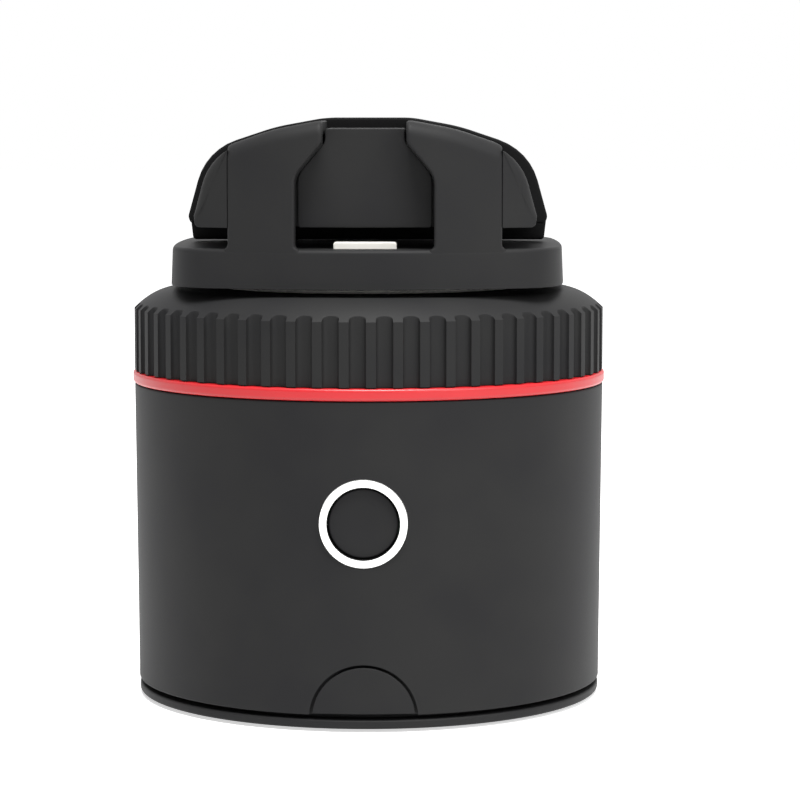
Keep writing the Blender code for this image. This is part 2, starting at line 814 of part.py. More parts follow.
def make_button():
    reach = -FACE_Y
    flange_back = reach - LIGHT_BACK
    profile = [
        (LIGHT_OUT, reach + 2 * PAST),
        (LIGHT_OUT, flange_back + LIGHT_FLANGE_THICK),
        (LIGHT_FLANGE_OUT, flange_back + LIGHT_FLANGE_THICK),
        (LIGHT_FLANGE_OUT, flange_back),
        (LIGHT_IN, flange_back),
        (LIGHT_IN, reach + 2 * PAST),
    ]
    at = (0, 0, BUTTON_Z)
    light = turned("light_ring", profile, LIGHT_GUIDE, at=at, facing="front", steps=FINE_STEPS)
    trim(light, disc("light_face", reach, 0, SHELL_TOP_Z + PAST))

    cap_r = LIGHT_IN - CAP_SLACK
    cap_front = reach - CAP_RECESS
    stem_back = -SWITCH_FRONT_Y + BUTTON_TRAVEL + CLOSE_GAP
    cap_profile = [
        (0, cap_front - CAP_DISH),
        (cap_r - CAP_LAND, cap_front),
        (cap_r, cap_front - CAP_EASE),
        (cap_r, cap_front - CAP_THICK),
        (STEM_R, cap_front - CAP_THICK),
        (STEM_R, stem_back),
        (0, stem_back),
    ]
    local = [(r, z - cap_front) for r, z in cap_profile]
    turned("button_cap", local, SOFT_TOUCH, at=(0, -cap_front, BUTTON_Z), facing="front",
           steps=FINE_STEPS, solid=True)

    half = SWITCH_SIDE / 2
    square = [(-half, -half), (half, -half), (half, half), (-half, half)]
    upright("tact_switch", [square], SWITCH_FRONT_Y, SWITCH_FRONT_Y + SWITCH_DEEP,
            material=BLACK_METAL, at=at)
    board = rounded([(-BOARD_HALF_WIDE, -BOARD_HALF_TALL, 1), (BOARD_HALF_WIDE, -BOARD_HALF_TALL, 1),
                     (BOARD_HALF_WIDE, BOARD_HALF_TALL, 1), (-BOARD_HALF_WIDE, BOARD_HALF_TALL, 1)],
                    segments=2)
    upright("button_board", [board], BOARD_FRONT_Y, BOARD_FRONT_Y + BOARD_THICK,
            material=BOARD_GREEN, at=at)


def make_accent_ring():
    ring("accent_ring", SKIRT_R + GAP, RING_R, RING_Z, RING_Z + RING_TALL, material=RED)


def flute_outline(angle):
    """One flute in plan, open outwards, centred on an angle."""
    half = FLUTE_WIDE / 2
    floor = GRIP_R - FLUTE_DEEP
    shape = [
        (GRIP_R + PAST, -half),
        (GRIP_R + PAST, half),
        (floor, half * FLUTE_FLOOR_SHARE),
        (floor, -half * FLUTE_FLOOR_SHARE),
    ]
    c, s = math.cos(angle), math.sin(angle)
    return [(x * c - y * s, x * s + y * c) for x, y in shape]


def make_grip_cover():
    shoulder = []
    for i in range(SHOULDER_STEPS + 1):
        share = i / SHOULDER_STEPS
        shoulder.append((GRIP_R - SHOULDER_WIDE * (1 - share),
                         GRIP_TOP_Z - SHOULDER_TALL * share ** 2))
    seat_in = RACE_OUT + CLOSE_GAP
    seat_out = seat_in + SEAT_WALL
    skirt_in = SKIRT_R - SKIRT_WALL
    bore = RACE_IN + RACE_IN_WALL + COVER_BORE_ROOM
    profile = shoulder + [
        (GRIP_R, GRIP_Z),
        (SKIRT_R, GRIP_Z),
        (SKIRT_R, SKIRT_Z),
        (skirt_in, SKIRT_Z),
        (skirt_in, WEB_UNDER_Z),
        (seat_out, WEB_UNDER_Z),
        (seat_out, BEARING_Z - SEAT_PAST),
        (seat_in, BEARING_Z - SEAT_PAST),
        (seat_in, WEB_UNDER_Z),
        (bore, WEB_UNDER_Z),
        (bore, GRIP_TOP_Z),
    ]
    cover = turned("grip_cover", profile, SOFT_TOUCH, steps=FLUTES, turn=math.radians(FLUTE_TURN - 90))
    for x, y in around(COVER_BOSS_AT, 4, 45):
        join(cover, disc("cover_boss", COVER_BOSS_R, SKIRT_Z, WEB_UNDER_Z + JOIN_IN, at=(x, y, 0),
                         steps=SMALL_STEPS))
    for x, y in around(COVER_BOSS_AT, 4, 45):
        cut(cover, disc("cover_boss_hole", SCREW_R + CLOSE_GAP, SKIRT_Z - PAST,
                        CHASSIS_Z + SCREW_LONG + GAP, at=(x, y, 0), steps=SMALL_STEPS))
    step = 2 * math.pi / FLUTES
    first = math.radians(FLUTE_TURN - 90)
    flutes = [flute_outline(first + step * i) for i in range(FLUTES)]
    cut(cover, flat("flutes", flutes, GRIP_Z - PAST, GRIP_TOP_Z + PAST))


def make_chassis():
    thick_top = CHASSIS_Z + CHASSIS_THICK
    holes = [circle(SCREW_R + HOLE_SLACK, at) for at in around(COVER_BOSS_AT, 4, 45)]
    holes.append(circle(AXLE_R + CLOSE_GAP, (IDLER_X, 0)))
    holes.append(circle(MOTOR_NOSE_R + HOLE_SLACK, (MOTOR_X, MOTOR_Y)))
    holes += [circle(SMALL_SCREW_R + HOLE_SLACK, at) for at in motor_screw_places()]
    holes.append(circle(WIRE_HOLE_R, WIRE_HOLE_AT))
    rim = circle(SHELL_TOP_IN_R - GAP, steps=STEPS)
    flat("chassis_plate", [rim] + holes, CHASSIS_Z, thick_top, material=BLACK_METAL)
    for i, (x, y) in enumerate(around(COVER_BOSS_AT, 4, 45)):
        screw(f"cover_screw_{i + 1}", (x, y, CHASSIS_Z - CLOSE_GAP), "down")


def motor_screw_places():
    turn = math.radians(MOTOR_TURN - 90)
    x, y = MOTOR_SCREW_AT * math.cos(turn), MOTOR_SCREW_AT * math.sin(turn)
    return [(MOTOR_X + x, MOTOR_Y + y), (MOTOR_X - x, MOTOR_Y - y)]


def make_motor():
    top = CHASSIS_Z - CLOSE_GAP
    nose_top = top + MOTOR_NOSE_TALL
    bore = AXLE_R + CLOSE_GAP
    profile = [
        (MOTOR_NOSE_R, nose_top),
        (MOTOR_NOSE_R, top),
        (MOTOR_R - MOTOR_EASE, top),
        (MOTOR_R, top - MOTOR_EASE),
        (MOTOR_R, top - MOTOR_TALL),
        (0, top - MOTOR_TALL),
        (0, top - SHAFT_IN),
        (bore, top - SHAFT_IN),
        (bore, nose_top),
    ]
    can = turned("motor_can", profile, BLACK_METAL, at=(MOTOR_X, MOTOR_Y, 0),
                 steps=MEDIUM_STEPS)
    for i, (x, y) in enumerate(motor_screw_places()):
        cut(can, disc("motor_screw_hole", SMALL_SCREW_R + CLOSE_GAP, top - SMALL_SCREW_LONG,
                      top + PAST, at=(x, y, 0), steps=SCREW_STEPS))
        screw(f"motor_screw_{i + 1}", (x, y, CHASSIS_Z + CHASSIS_THICK + CLOSE_GAP / 2), "up",
              SMALL_SCREW_R, SMALL_SCREW_LONG, SMALL_HEAD_R, MOTOR_SCREW_HEAD)
    rotor = axis_empty("motor_axis", (MOTOR_X, MOTOR_Y, 0))
    pinion_z = IDLER_Z - PINION_DROP
    disc("motor_shaft", AXLE_R, top - SHAFT_IN + GAP, pinion_z + PINION_TALL + GAP, material=STEEL,
         parent=rotor, steps=SMALL_STEPS)
    gap_turn = MOTOR_TURN + 180 + 180 / PINION_TEETH
    outline = gear_outline(PINION_TEETH, FINE_MODULE, gap_turn)
    flat("motor_pinion", [outline, circle(AXLE_R + CLOSE_GAP)], pinion_z, pinion_z + PINION_TALL,
         material=BRASS, parent=rotor)


def make_idler():
    top = HUB_GEAR_TOP_Z
    bore = circle(AXLE_R + CLOSE_GAP)
    large = gear_outline(IDLER_LARGE_TEETH, FINE_MODULE, MOTOR_TURN)
    small = gear_outline(IDLER_SMALL_TEETH, COARSE_MODULE, 180 + 180 / IDLER_SMALL_TEETH)
    at = (IDLER_X, 0, 0)
    gear = flat("idler_gear", [large, bore], IDLER_Z, IDLER_Z + IDLER_LARGE_TALL,
                material=ACETAL, at=at)
    join(gear, flat("idler_small", [small, bore], IDLER_Z + PAST, top, at=at))
    disc("idler_axle", AXLE_R, CHASSIS_Z, top + AXLE_PAST, material=STEEL, at=at, steps=SMALL_STEPS)


def make_bearing(head):
    ring("bearing_outer_race", RACE_OUT - RACE_OUT_WALL, RACE_OUT, BEARING_Z, BEARING_TOP_Z,
         material=STEEL, steps=FINE_STEPS)
    ring("bearing_inner_race", RACE_IN, RACE_IN + RACE_IN_WALL, BEARING_Z, BEARING_TOP_Z,
         material=STEEL, steps=FINE_STEPS, parent=head)
    middle = (RACE_IN + RACE_IN_WALL + RACE_OUT - RACE_OUT_WALL) / 2
    height = (BEARING_Z + BEARING_TOP_Z) / 2
    cage_axis = axis_empty("cage_axis")
    cage = ring("ball_cage", middle - CAGE_WALL / 2, middle + CAGE_WALL / 2,
                height - CAGE_TALL / 2, height + CAGE_TALL / 2, material=STEEL,
                steps=MEDIUM_STEPS, parent=cage_axis)
    for x, y in around(middle, BALLS, 0):
        ball = [(BALL_R * math.sin(math.pi * i / 4), BALL_R * math.cos(math.pi * i / 4))
                for i in range(5)]
        join(cage, turned("ball", ball, at=(x, y, height), steps=6, solid=True))
    ring("retaining_clip", RACE_IN, CLIP_R, CLIP_Z, CLIP_Z + CLIP_TALL, material=STEEL,
         steps=FINE_STEPS, parent=head)
    washer_z = GRIP_TOP_Z + (HEAD_SEAM - WASHER_TALL) / 2
    ring("thrust_washer", WASHER_IN, WASHER_OUT, washer_z, washer_z + WASHER_TALL, material=ACETAL,
         steps=FINE_STEPS)


def make_head_base(head):
    hub_in = HUB_R - HUB_WALL
    profile = [
        (DRUM_IN_R - GAP, DISC_TOP_Z),
        (DRUM_IN_R - GAP, HEAD_Z),
        (HUB_R, HEAD_Z),
        (HUB_R, LOCK_RING_Z - CLOSE_GAP),
        (hub_in, LOCK_RING_Z - CLOSE_GAP),
        (hub_in, DISC_TOP_Z),
    ]
    base = turned("head_base", profile, BLACK_METAL, head)
    seat = HEAD_Z + SMALL_HEAD_TALL + CLOSE_GAP
    for i, (x, y) in enumerate(around(HEAD_SCREW_AT, 3, HEAD_SCREW_TURN)):
        cut(base, screw_recess("head_screw_recess", (x, y), HEAD_Z - PAST, seat, DISC_TOP_Z + PAST,
                               SMALL_HEAD_R + HOLE_SLACK, SMALL_SCREW_R + HOLE_SLACK))
        screw(f"head_screw_{i + 1}", (x, y, seat - CLOSE_GAP), "down", SMALL_SCREW_R, HEAD_SCREW_LONG,
              SMALL_HEAD_R, SMALL_HEAD_TALL, head)
    gear = gear_outline(HUB_TEETH, COARSE_MODULE)
    bore = circle(HUB_R + CLOSE_GAP, steps=FINE_STEPS)
    flat("hub_gear", [gear, bore], HUB_GEAR_Z, HUB_GEAR_TOP_Z, material=ACETAL, parent=head)
    ring("gear_lock_ring", HUB_R + CLOSE_GAP, LOCK_RING_R, LOCK_RING_Z,
         LOCK_RING_Z + LOCK_RING_TALL, material=BRASS, steps=MEDIUM_STEPS, parent=head)


def make_straps():
    """The two straps: an upright band round the front that wraps over the top."""
    near = -HEAD_HALF - 2 * PAST
    centre = (0, HEAD_ARC_Y, 0)
    straps = upright("straps", [strap_outline(), mirrored(strap_outline())], near, STRAP_BACK_Y)
    core = upright("strap_hollow", [dome_outline(HEAD_Z - 6 * PAST, ARCH_THICK)], near, 5 * PAST)
    trim(core, disc("strap_inner_face", STRAP_IN_R, HEAD_Z - 6 * PAST, DOME_TOP_Z + 4 * PAST,
                    at=centre))
    trim(straps, upright("strap_top_line", [dome_outline(DRUM_UNDER_Z - 2 * PAST)],
                         near - 2 * PAST, 8 * PAST))
    trim(straps, disc("strap_outer_face", STRAP_R, DRUM_UNDER_Z - 4 * PAST, DOME_TOP_Z + 4 * PAST,
                      at=centre))
    return cut(straps, core)


def make_head_shell(head):
    low = HEAD_Z - 2 * DRUM_EASE
    shell = flat("head_shell", [head_plan()], low, DRUM_TOP_Z, material=SOFT_TOUCH, parent=head)
    ease = shell.modifiers.new("top_edge", "BEVEL")
    ease.width = DRUM_EASE * TO_METRES
    ease.segments = 1
    ease.limit_method = "ANGLE"
    ease.angle_limit = math.radians(60)
    cut(shell, disc("below_drum", 2 * HEAD_HALF, low - PAST, HEAD_Z))
    cut(shell, disc("drum_hollow", DRUM_IN_R, HEAD_Z - PAST, DRUM_UNDER_Z))
    join(shell, make_straps())
    for x, y in around(HEAD_SCREW_AT, 3, HEAD_SCREW_TURN):
        join(shell, disc("head_boss", HEAD_BOSS_R, DISC_TOP_Z + GAP, DRUM_UNDER_Z + JOIN_IN,
                         at=(x, y, 0), steps=SMALL_STEPS))
        cut(shell, disc("head_boss_hole", SMALL_SCREW_R + CLOSE_GAP, DISC_TOP_Z,
                        DRUM_UNDER_Z - GAP, at=(x, y, 0), steps=SCREW_STEPS))
    mark_low = (-MARK_HALF, MARK_FRONT_Y, DRUM_TOP_Z - MARK_SUNK)
    mark_high = (MARK_HALF, MARK_FRONT_Y + MARK_LONG, DRUM_TOP_Z + MARK_PROUD)
    cut(shell, box("mark_seat", [v - CLOSE_GAP for v in mark_low],
                   [v + CLOSE_GAP for v in mark_high]))
    box("index_mark", mark_low, mark_high, ACETAL, head)
    for side, word in ((-1, "left"), (1, "right")):
        x = side * FOOT_X
        for near in (ROD_FRONT_Y - ROD_END, ROD_BACK_Y + ROD_END - ROD_BOSS_LONG):
            join(shell, box("rod_boss", (x - ROD_BOSS_HALF, near, DISC_TOP_Z + GAP),
                            (x + ROD_BOSS_HALF, near + ROD_BOSS_LONG, DRUM_UNDER_Z + JOIN_IN)))
        cut(shell, box("foot_slot",
                       (x - FOOT_HALF - GAP, FOOT_FRONT_Y - GAP, DRUM_UNDER_Z - PAST),
                       (x + FOOT_HALF + GAP, FOOT_FRONT_Y + FOOT_LONG + JAW_TRAVEL + GAP,
                        DRUM_TOP_Z + PAST)))
        cut(shell, disc("rod_bore", ROD_R + CLOSE_GAP, -ROD_BACK_Y - CLOSE_GAP,
                        -ROD_FRONT_Y + CLOSE_GAP,
                        at=(x, 0, ROD_Z), facing="front", steps=SMALL_STEPS))
        disc(f"guide_rod_{word}", ROD_R, -ROD_BACK_Y, -ROD_FRONT_Y, material=STEEL,
             at=(x, 0, ROD_Z), facing="front", steps=SMALL_STEPS, parent=head)
        make_jaw_spring(f"jaw_spring_{word}", x, head)


def make_jaw_spring(name, x, head):
    """A push spring round its rod, between the jaw's foot and the rear rod boss."""
    front = FOOT_FRONT_Y + FOOT_LONG + GAP + SPRING_WIRE / 2
    back = ROD_BACK_Y + ROD_END - ROD_BOSS_LONG - GAP - SPRING_WIRE / 2
    count = SPRING_TURNS * SPRING_POINTS
    points = []
    for i in range(count + 1):
        angle = 2 * math.pi * i / SPRING_POINTS
        y = front + (back - front) * i / count
        points.append((x + SPRING_R * math.cos(angle), y, ROD_Z + SPRING_R * math.sin(angle)))
    tube(name, points, SPRING_WIRE / 2, STEEL, head, sides=0)
    print(name, "gap between turns in mm:", round((back - front) / SPRING_TURNS - SPRING_WIRE, 2))


def make_front_jaw(head):
    """The plate behind the straps, with its wings, and the rubber pad on its back."""
    near = -HEAD_HALF - 2 * PAST
    centre = (0, HEAD_ARC_Y, 0)
    plate = upright("front_jaw_plate", [dome_outline(PLATE_BOTTOM_Z, PLATE_INSET)], near,
                    STRAP_BACK_Y, material=SOFT_TOUCH, parent=head)
    trim(plate, disc("wing_face", WING_R, PLATE_BOTTOM_Z - 4 * PAST, DOME_TOP_Z + 4 * PAST,
                     at=centre))
    inner = upright("behind_straps", [dome_outline(PLATE_BOTTOM_Z - 8 * PAST, ARCH_THICK + GAP)],
                    near - PAST, 5 * PAST)
    trim(inner, disc("behind_strap_face", STRAP_IN_R - GAP, PLATE_BOTTOM_Z - 8 * PAST,
                     DOME_TOP_Z + 5 * PAST, at=centre))
    room = upright("strap_room", [strap_outline(GAP), mirrored(strap_outline(GAP))],
                   near - 2 * PAST, STRAP_BACK_Y + 2 * PAST)
    cut(plate, cut(room, inner))
    cut(plate, box("window_room", (-WINDOW_HALF, near - 3 * PAST, PLATE_BOTTOM_Z - 5 * PAST),
                   (WINDOW_HALF, PANEL_Y, DOME_TOP_Z + 3 * PAST)))
    hollow_r = STRAP_IN_R - GAP - PLATE_WALL
    hollow = upright("plate_hollow", [dome_outline(PLATE_BOTTOM_Z + PLATE_WALL, 2 * ARCH_THICK)],
                     PANEL_Y + PLATE_WALL, STRAP_BACK_Y + 3 * PAST)
    trim(hollow, disc("plate_hollow_face", hollow_r, PLATE_BOTTOM_Z - 4 * PAST,
                      DOME_TOP_Z + 4 * PAST, at=centre))
    cut(plate, hollow)
    upright("front_pad", [dome_outline(PLATE_BOTTOM_Z)], FRONT_PAD_Y, FRONT_PAD_Y + PAD_THICK,
            material=RUBBER, parent=head)


def make_rear_jaw():
    slide = axis_empty("jaw_slide_axis")
    upright("rear_pad", [dome_outline(JAW_BOTTOM_Z)], REAR_PAD_Y, REAR_PAD_Y + PAD_THICK,
            material=RUBBER, parent=slide)
    back = REAR_JAW_Y + JAW_DEEP
    jaw = upright("rear_jaw", [dome_outline(JAW_BOTTOM_Z)], REAR_JAW_Y, back, material=SOFT_TOUCH,
                  parent=slide)
    centre = (0, back - JAW_BACK_R, 0)
    trim(jaw, disc("jaw_back_face", JAW_BACK_R, JAW_BOTTOM_Z - 4 * PAST, DOME_TOP_Z + 4 * PAST,
                   at=centre))
    hollow = upright("jaw_hollow", [dome_outline(JAW_BOTTOM_Z + JAW_WALL, JAW_WALL)],
                     REAR_JAW_Y - 2 * PAST, back - JAW_WALL)
    trim(hollow, disc("jaw_hollow_face", JAW_BACK_R - JAW_WALL, JAW_BOTTOM_Z - 4 * PAST,
                      DOME_TOP_Z + 4 * PAST, at=centre))
    cut(jaw, hollow)
    for side in (-1, 1):
        x = side * FOOT_X
        join(jaw, box("jaw_foot", (x - FOOT_HALF, FOOT_FRONT_Y, DISC_TOP_Z + GAP),
                      (x + FOOT_HALF, FOOT_FRONT_Y + FOOT_LONG, JAW_BOTTOM_Z + PAST)))
        cut(jaw, disc("jaw_foot_bore", ROD_R + HOLE_SLACK, -FOOT_FRONT_Y - FOOT_LONG - PAST,
                      -FOOT_FRONT_Y + PAST, at=(x, 0, ROD_Z), facing="front", steps=SMALL_STEPS))


def make_electronics():
    holes = [circle(BASE_BOSS_R + GAP, steps=MEDIUM_STEPS)]
    holes += [circle(SMALL_SCREW_R + HOLE_SLACK, (side * PCB_POST_X, 0)) for side in (-1, 1)]
    flat("main_board", [circle(PCB_R, steps=FINE_STEPS)] + holes, PCB_Z, PCB_Z + PCB_THICK,
         material=BOARD_GREEN)
    for side, word in ((-1, "left"), (1, "right")):
        screw(f"board_screw_{word}", (side * PCB_POST_X, 0, PCB_Z + PCB_THICK + CLOSE_GAP), "up",
              SMALL_SCREW_R, SMALL_SCREW_LONG, SMALL_HEAD_R, SMALL_HEAD_TALL)
    front = -SHELL_IN_R + 2 * GAP
    socket = box("port_socket", (-SOCKET_HALF, front, SOCKET_Z),
                 (SOCKET_HALF, front + SOCKET_DEEP, SOCKET_Z + SOCKET_TALL), STEEL)
    mouth = slot_outline(2 * (SOCKET_HALF - SOCKET_WALL), SOCKET_TALL - 2 * SOCKET_WALL,
                         SOCKET_Z + SOCKET_TALL / 2)
    cut(socket, upright("socket_mouth", [mouth], front - PAST, front + SOCKET_DEEP - SOCKET_BACK))

    tray_top = CHASSIS_Z - GAP
    low = (*TRAY_LOW, tray_top - TRAY_TALL)
    high = (*TRAY_HIGH, tray_top)
    tray = box("battery_tray", low, high, SOFT_TOUCH)
    cut(tray, box("tray_hollow", [v + TRAY_WALL for v in low],
                  (high[0] - TRAY_WALL, high[1] - TRAY_WALL, tray_top + PAST)))
    inset = TRAY_WALL + GAP
    corners = [(low[0] + inset, low[1] + inset), (high[0] - inset, low[1] + inset),
               (high[0] - inset, high[1] - inset), (low[0] + inset, high[1] - inset)]
    cell = rounded([(*corner, CELL_CORNER) for corner in corners], segments=3)
    flat("battery", [cell], low[2] + inset, tray_top - GAP, material=CELL)


def smooth_route(points, spacing=2.5):
    """Points along a smooth curve through the given ones."""
    route = []
    padded = [points[0]] + list(points) + [points[-1]]
    for i in range(1, len(padded) - 2):
        a, b, c, d = (Vector(p) for p in padded[i - 1:i + 3])
        steps = max(2, round((c - b).length / spacing))
        for k in range(steps):
            t = k / steps
            route.append(tuple(0.5 * (2 * b + (c - a) * t + (2 * a - 5 * b + 4 * c - d) * t * t
                                      + (3 * b - 3 * c + d - a) * t ** 3)))
    route.append(points[-1])
    return route


def make_leads():
    board_top = PCB_Z + PCB_THICK + GAP
    motor_low = CHASSIS_Z - CLOSE_GAP - MOTOR_TALL - GAP
    tray_low = CHASSIS_Z - GAP - TRAY_TALL - GAP
    tube("motor_lead", smooth_route([
        (MOTOR_X, MOTOR_Y, motor_low),
        (MOTOR_X, MOTOR_Y, motor_low - 4),
        (MOTOR_X - 2, MOTOR_Y - 3, (motor_low + board_top) / 2),
        (MOTOR_X - 3, MOTOR_Y - 4, board_top + 3),
        (MOTOR_X - 3, MOTOR_Y - 4, board_top),
    ]), LEAD_R, LEAD_RED)
    middle = (TRAY_LOW[0] + TRAY_HIGH[0]) / 2
    tube("battery_lead", smooth_route([
        (middle, 4, tray_low),
        (middle, 4, tray_low - 2.5),
        (middle + 1, 2, board_top + 2.5),
        (middle + 1, 2, board_top),
    ]), LEAD_R, LEAD_RED)
    back = BOARD_FRONT_Y + BOARD_THICK + GAP
    tube("button_lead", smooth_route([
        (0, back, BUTTON_Z - 3),
        (0, back + 2.5, BUTTON_Z - 4),
        (0, back + 4, BUTTON_Z - 10),
        (0, back + 5, board_top + 4),
        (0, back + 5, board_top),
    ]), LEAD_R, LEAD_RED)


def freeze(thing, graph):
    """Keep a part's finished shape as its mesh, shaded smooth with crisp edges."""
    mesh = bpy.data.meshes.new_from_object(thing.evaluated_get(graph))
    thing.modifiers.clear()
    thing.data = mesh
    mesh.shade_smooth()
    mesh.set_sharp_from_angle(angle=math.radians(30))


def main():
    make_foot_ring()
    make_base_plate()
    make_tripod_bush()
    make_body_shell()
    make_port_flap()
    make_button()
    make_accent_ring()
    make_grip_cover()
    make_chassis()
    make_motor()
    make_idler()
    head = axis_empty("head_axis")
    make_bearing(head)
    make_head_base(head)
    make_head_shell(head)
    make_front_jaw(head)
    make_rear_jaw()
    make_electronics()
    make_leads()
    bpy.context.view_layer.update()
    graph = bpy.context.evaluated_depsgraph_get()
    for thing in [p for p in PARTS.objects if p.type == "MESH"]:
        freeze(thing, graph)


main()
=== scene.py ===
# %% [markdown]
# A pocket rotating phone mount, finished for the camera.
# The working model is already built as solids. This notebook gives each piece that shows its fine
# surface and its material, then adds light, a floor and a camera.

# %% Load the working model
import json
import math

import bpy
import numpy as np
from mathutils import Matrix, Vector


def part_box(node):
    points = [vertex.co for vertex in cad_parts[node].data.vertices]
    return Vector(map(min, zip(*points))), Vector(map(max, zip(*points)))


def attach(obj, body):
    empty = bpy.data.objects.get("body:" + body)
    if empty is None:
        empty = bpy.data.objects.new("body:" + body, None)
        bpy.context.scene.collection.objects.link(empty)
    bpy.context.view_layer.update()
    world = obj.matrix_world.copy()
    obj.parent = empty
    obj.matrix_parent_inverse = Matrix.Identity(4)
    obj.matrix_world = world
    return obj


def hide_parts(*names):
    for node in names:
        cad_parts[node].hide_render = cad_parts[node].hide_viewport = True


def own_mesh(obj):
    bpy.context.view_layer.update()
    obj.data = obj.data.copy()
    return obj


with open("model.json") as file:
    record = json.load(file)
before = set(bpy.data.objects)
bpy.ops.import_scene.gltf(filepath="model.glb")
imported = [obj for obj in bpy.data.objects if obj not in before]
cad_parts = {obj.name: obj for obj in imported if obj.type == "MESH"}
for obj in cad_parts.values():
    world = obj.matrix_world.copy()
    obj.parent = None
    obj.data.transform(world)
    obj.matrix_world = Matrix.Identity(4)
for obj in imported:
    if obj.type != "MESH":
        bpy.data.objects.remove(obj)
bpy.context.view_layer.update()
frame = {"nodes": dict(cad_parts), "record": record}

# %% [markdown]
# Everything below is worked out in millimetres and turned to metres in one place.
# A closed surface is a grid of points: rows run along the shape and columns run round it. Two kinds
# of ending are enough: either the last row joins the first, or each end row closes on one point.

# %% From a grid of points to a mesh
MM = 0.001
SHARP = math.radians(38)


def box_mm(node):
    """A node's lowest and highest corners in millimetres."""
    low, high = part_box(node)
    return np.array(low) / MM, np.array(high) / MM


def skin(points, loop=False, ends=(None, None)):
    """Vertices and faces of a closed surface over a grid of points (rows, columns, xyz).

    The last column joins the first. With loop, the last row joins the first. Otherwise each end row
    closes on one point, which is the row's middle unless ends gives it.
    """
    rows, columns = points.shape[:2]
    index = np.arange(rows * columns).reshape(rows, columns)
    right = np.roll(index, -1, axis=1)
    if loop:
        below, below_right = np.roll(index, -1, axis=0), np.roll(right, -1, axis=0)
        quads = np.stack([index, right, below_right, below], axis=-1).reshape(-1, 4)
        return points.reshape(-1, 3), [quads]
    quads = np.stack([index[:-1], right[:-1], right[1:], index[1:]], axis=-1).reshape(-1, 4)
    middles = [points[row].mean(axis=0) if end is None else np.array(end, float)
               for row, end in zip((0, -1), ends)]
    vertices = np.vstack([points.reshape(-1, 3), middles])
    first = np.full(columns, rows * columns)
    top = np.stack([first, right[0], index[0]], axis=-1)
    bottom = np.stack([first + 1, index[-1], right[-1]], axis=-1)
    return vertices, [quads, top, bottom]


def volume(vertices, faces):
    """The signed volume: the sum of the tetrahedra between the origin and each triangle."""
    total = 0.0
    for group in faces:
        a = vertices[group[:, 0]]
        for k in range(1, group.shape[1] - 1):
            total += np.einsum("ij,ij->i", a, np.cross(vertices[group[:, k]],
                                                      vertices[group[:, k + 1]])).sum() / 6
    return total


def placed(name, data):
    """A new object in the scene."""
    thing = bpy.data.objects.new(name, data)
    bpy.context.scene.collection.objects.link(thing)
    return thing


def solid(name, *skins):
    """One mesh object from closed surfaces, each turned so that its faces point outwards."""
    vertices, faces, start = [], [], 0
    for points, groups in skins:
        flip = -1 if volume(points, groups) < 0 else 1
        for group in groups:
            faces += (group[:, ::flip] + start).tolist()
        vertices.append(points * MM)
        start += len(points)
    mesh = bpy.data.meshes.new(name)
    mesh.from_pydata(np.vstack(vertices), [], faces)
    mesh.shade_smooth()
    mesh.set_sharp_from_angle(angle=SHARP)
    return placed(name, mesh)


def finish_piece(piece, body, slot, material, *nodes):
    """Paint a piece, hang it on its body and let it stand for its solids."""
    piece.data.materials.clear()
    piece.data.materials.append(material)
    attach(piece, body)
    if nodes:
        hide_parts(*nodes)
    print(f"{piece.name}: {len(piece.data.polygons)} faces")


# %% [markdown]
# The camera comes first, so that every render can be laid over the photograph.
# It stands just under half a metre away, level with the clamp's top, and looks down by less than six
# degrees, as a product photographer's long lens does. The lens follows from the object's width in
# the frame.

# %% Camera
CAMERA_FAR = 472.0
CAMERA_SIDE = 4.83
CAMERA_HIGH = 90.3
CAMERA_DOWN = math.radians(5.46)
CAMERA_ROUND = math.radians(0.75)
FOCAL_PIXELS = 3049.0
FRAME_PIXELS = 800.0
SENSOR = 36.0

camera_data = bpy.data.cameras.new("camera")
camera_data.sensor_width = SENSOR
camera_data.lens = FOCAL_PIXELS / FRAME_PIXELS * SENSOR
camera_data.clip_start = 0.01
camera = placed("camera", camera_data)
turn_c, turn_s = math.cos(CAMERA_ROUND), math.sin(CAMERA_ROUND)
camera.location = (
    (CAMERA_SIDE * turn_c + CAMERA_FAR * turn_s) * MM,
    (CAMERA_SIDE * turn_s - CAMERA_FAR * turn_c) * MM,
    CAMERA_HIGH * MM,
)
camera.rotation_euler = (math.pi / 2 - CAMERA_DOWN, 0, CAMERA_ROUND)
bpy.context.scene.camera = camera
print("lens", round(camera_data.lens, 1), "mm")

# %% [markdown]
# A material is a small graph of nodes. One helper adds any node, sets its options and wires its
# inputs. Four small ones stand on it, for noise, a ramp of two tones, a range of values and bumps, so
# each material below reads as a recipe. Colours are written as sRGB hex, as a colour picker shows
# them, and turned to the linear values that the shader wants.

# %% Material helpers


def linear(hex_colour):
    """sRGB hex to linear red, green, blue, alpha."""
    c = np.array([int(hex_colour[i:i + 2], 16) for i in (0, 2, 4)]) / 255
    c = np.where(c <= 0.04045, c / 12.92, ((c + 0.055) / 1.055) ** 2.4)
    return (*c.tolist(), 1.0)


def wire(tree, node, inputs):
    """Give each named input of a node a value or a link."""
    for socket, value in inputs.items():
        if isinstance(value, bpy.types.NodeSocket):
            tree.links.new(value, node.inputs[socket])
        else:
            node.inputs[socket].default_value = value


def add(tree, kind, inputs=None, **options):
    """Add a node, set its options and wire its inputs."""
    node = tree.nodes.new(kind)
    for key, value in options.items():
        setattr(node, key, value)
    wire(tree, node, inputs or {})
    return node


def new_material(name):
    """An empty material with its shader, its tree and object coordinates."""
    material = bpy.data.materials.new(name)
    material.use_nodes = True
    tree = material.node_tree
    place = add(tree, "ShaderNodeTexCoord").outputs["Object"]
    return material, tree, tree.nodes["Principled BSDF"], place


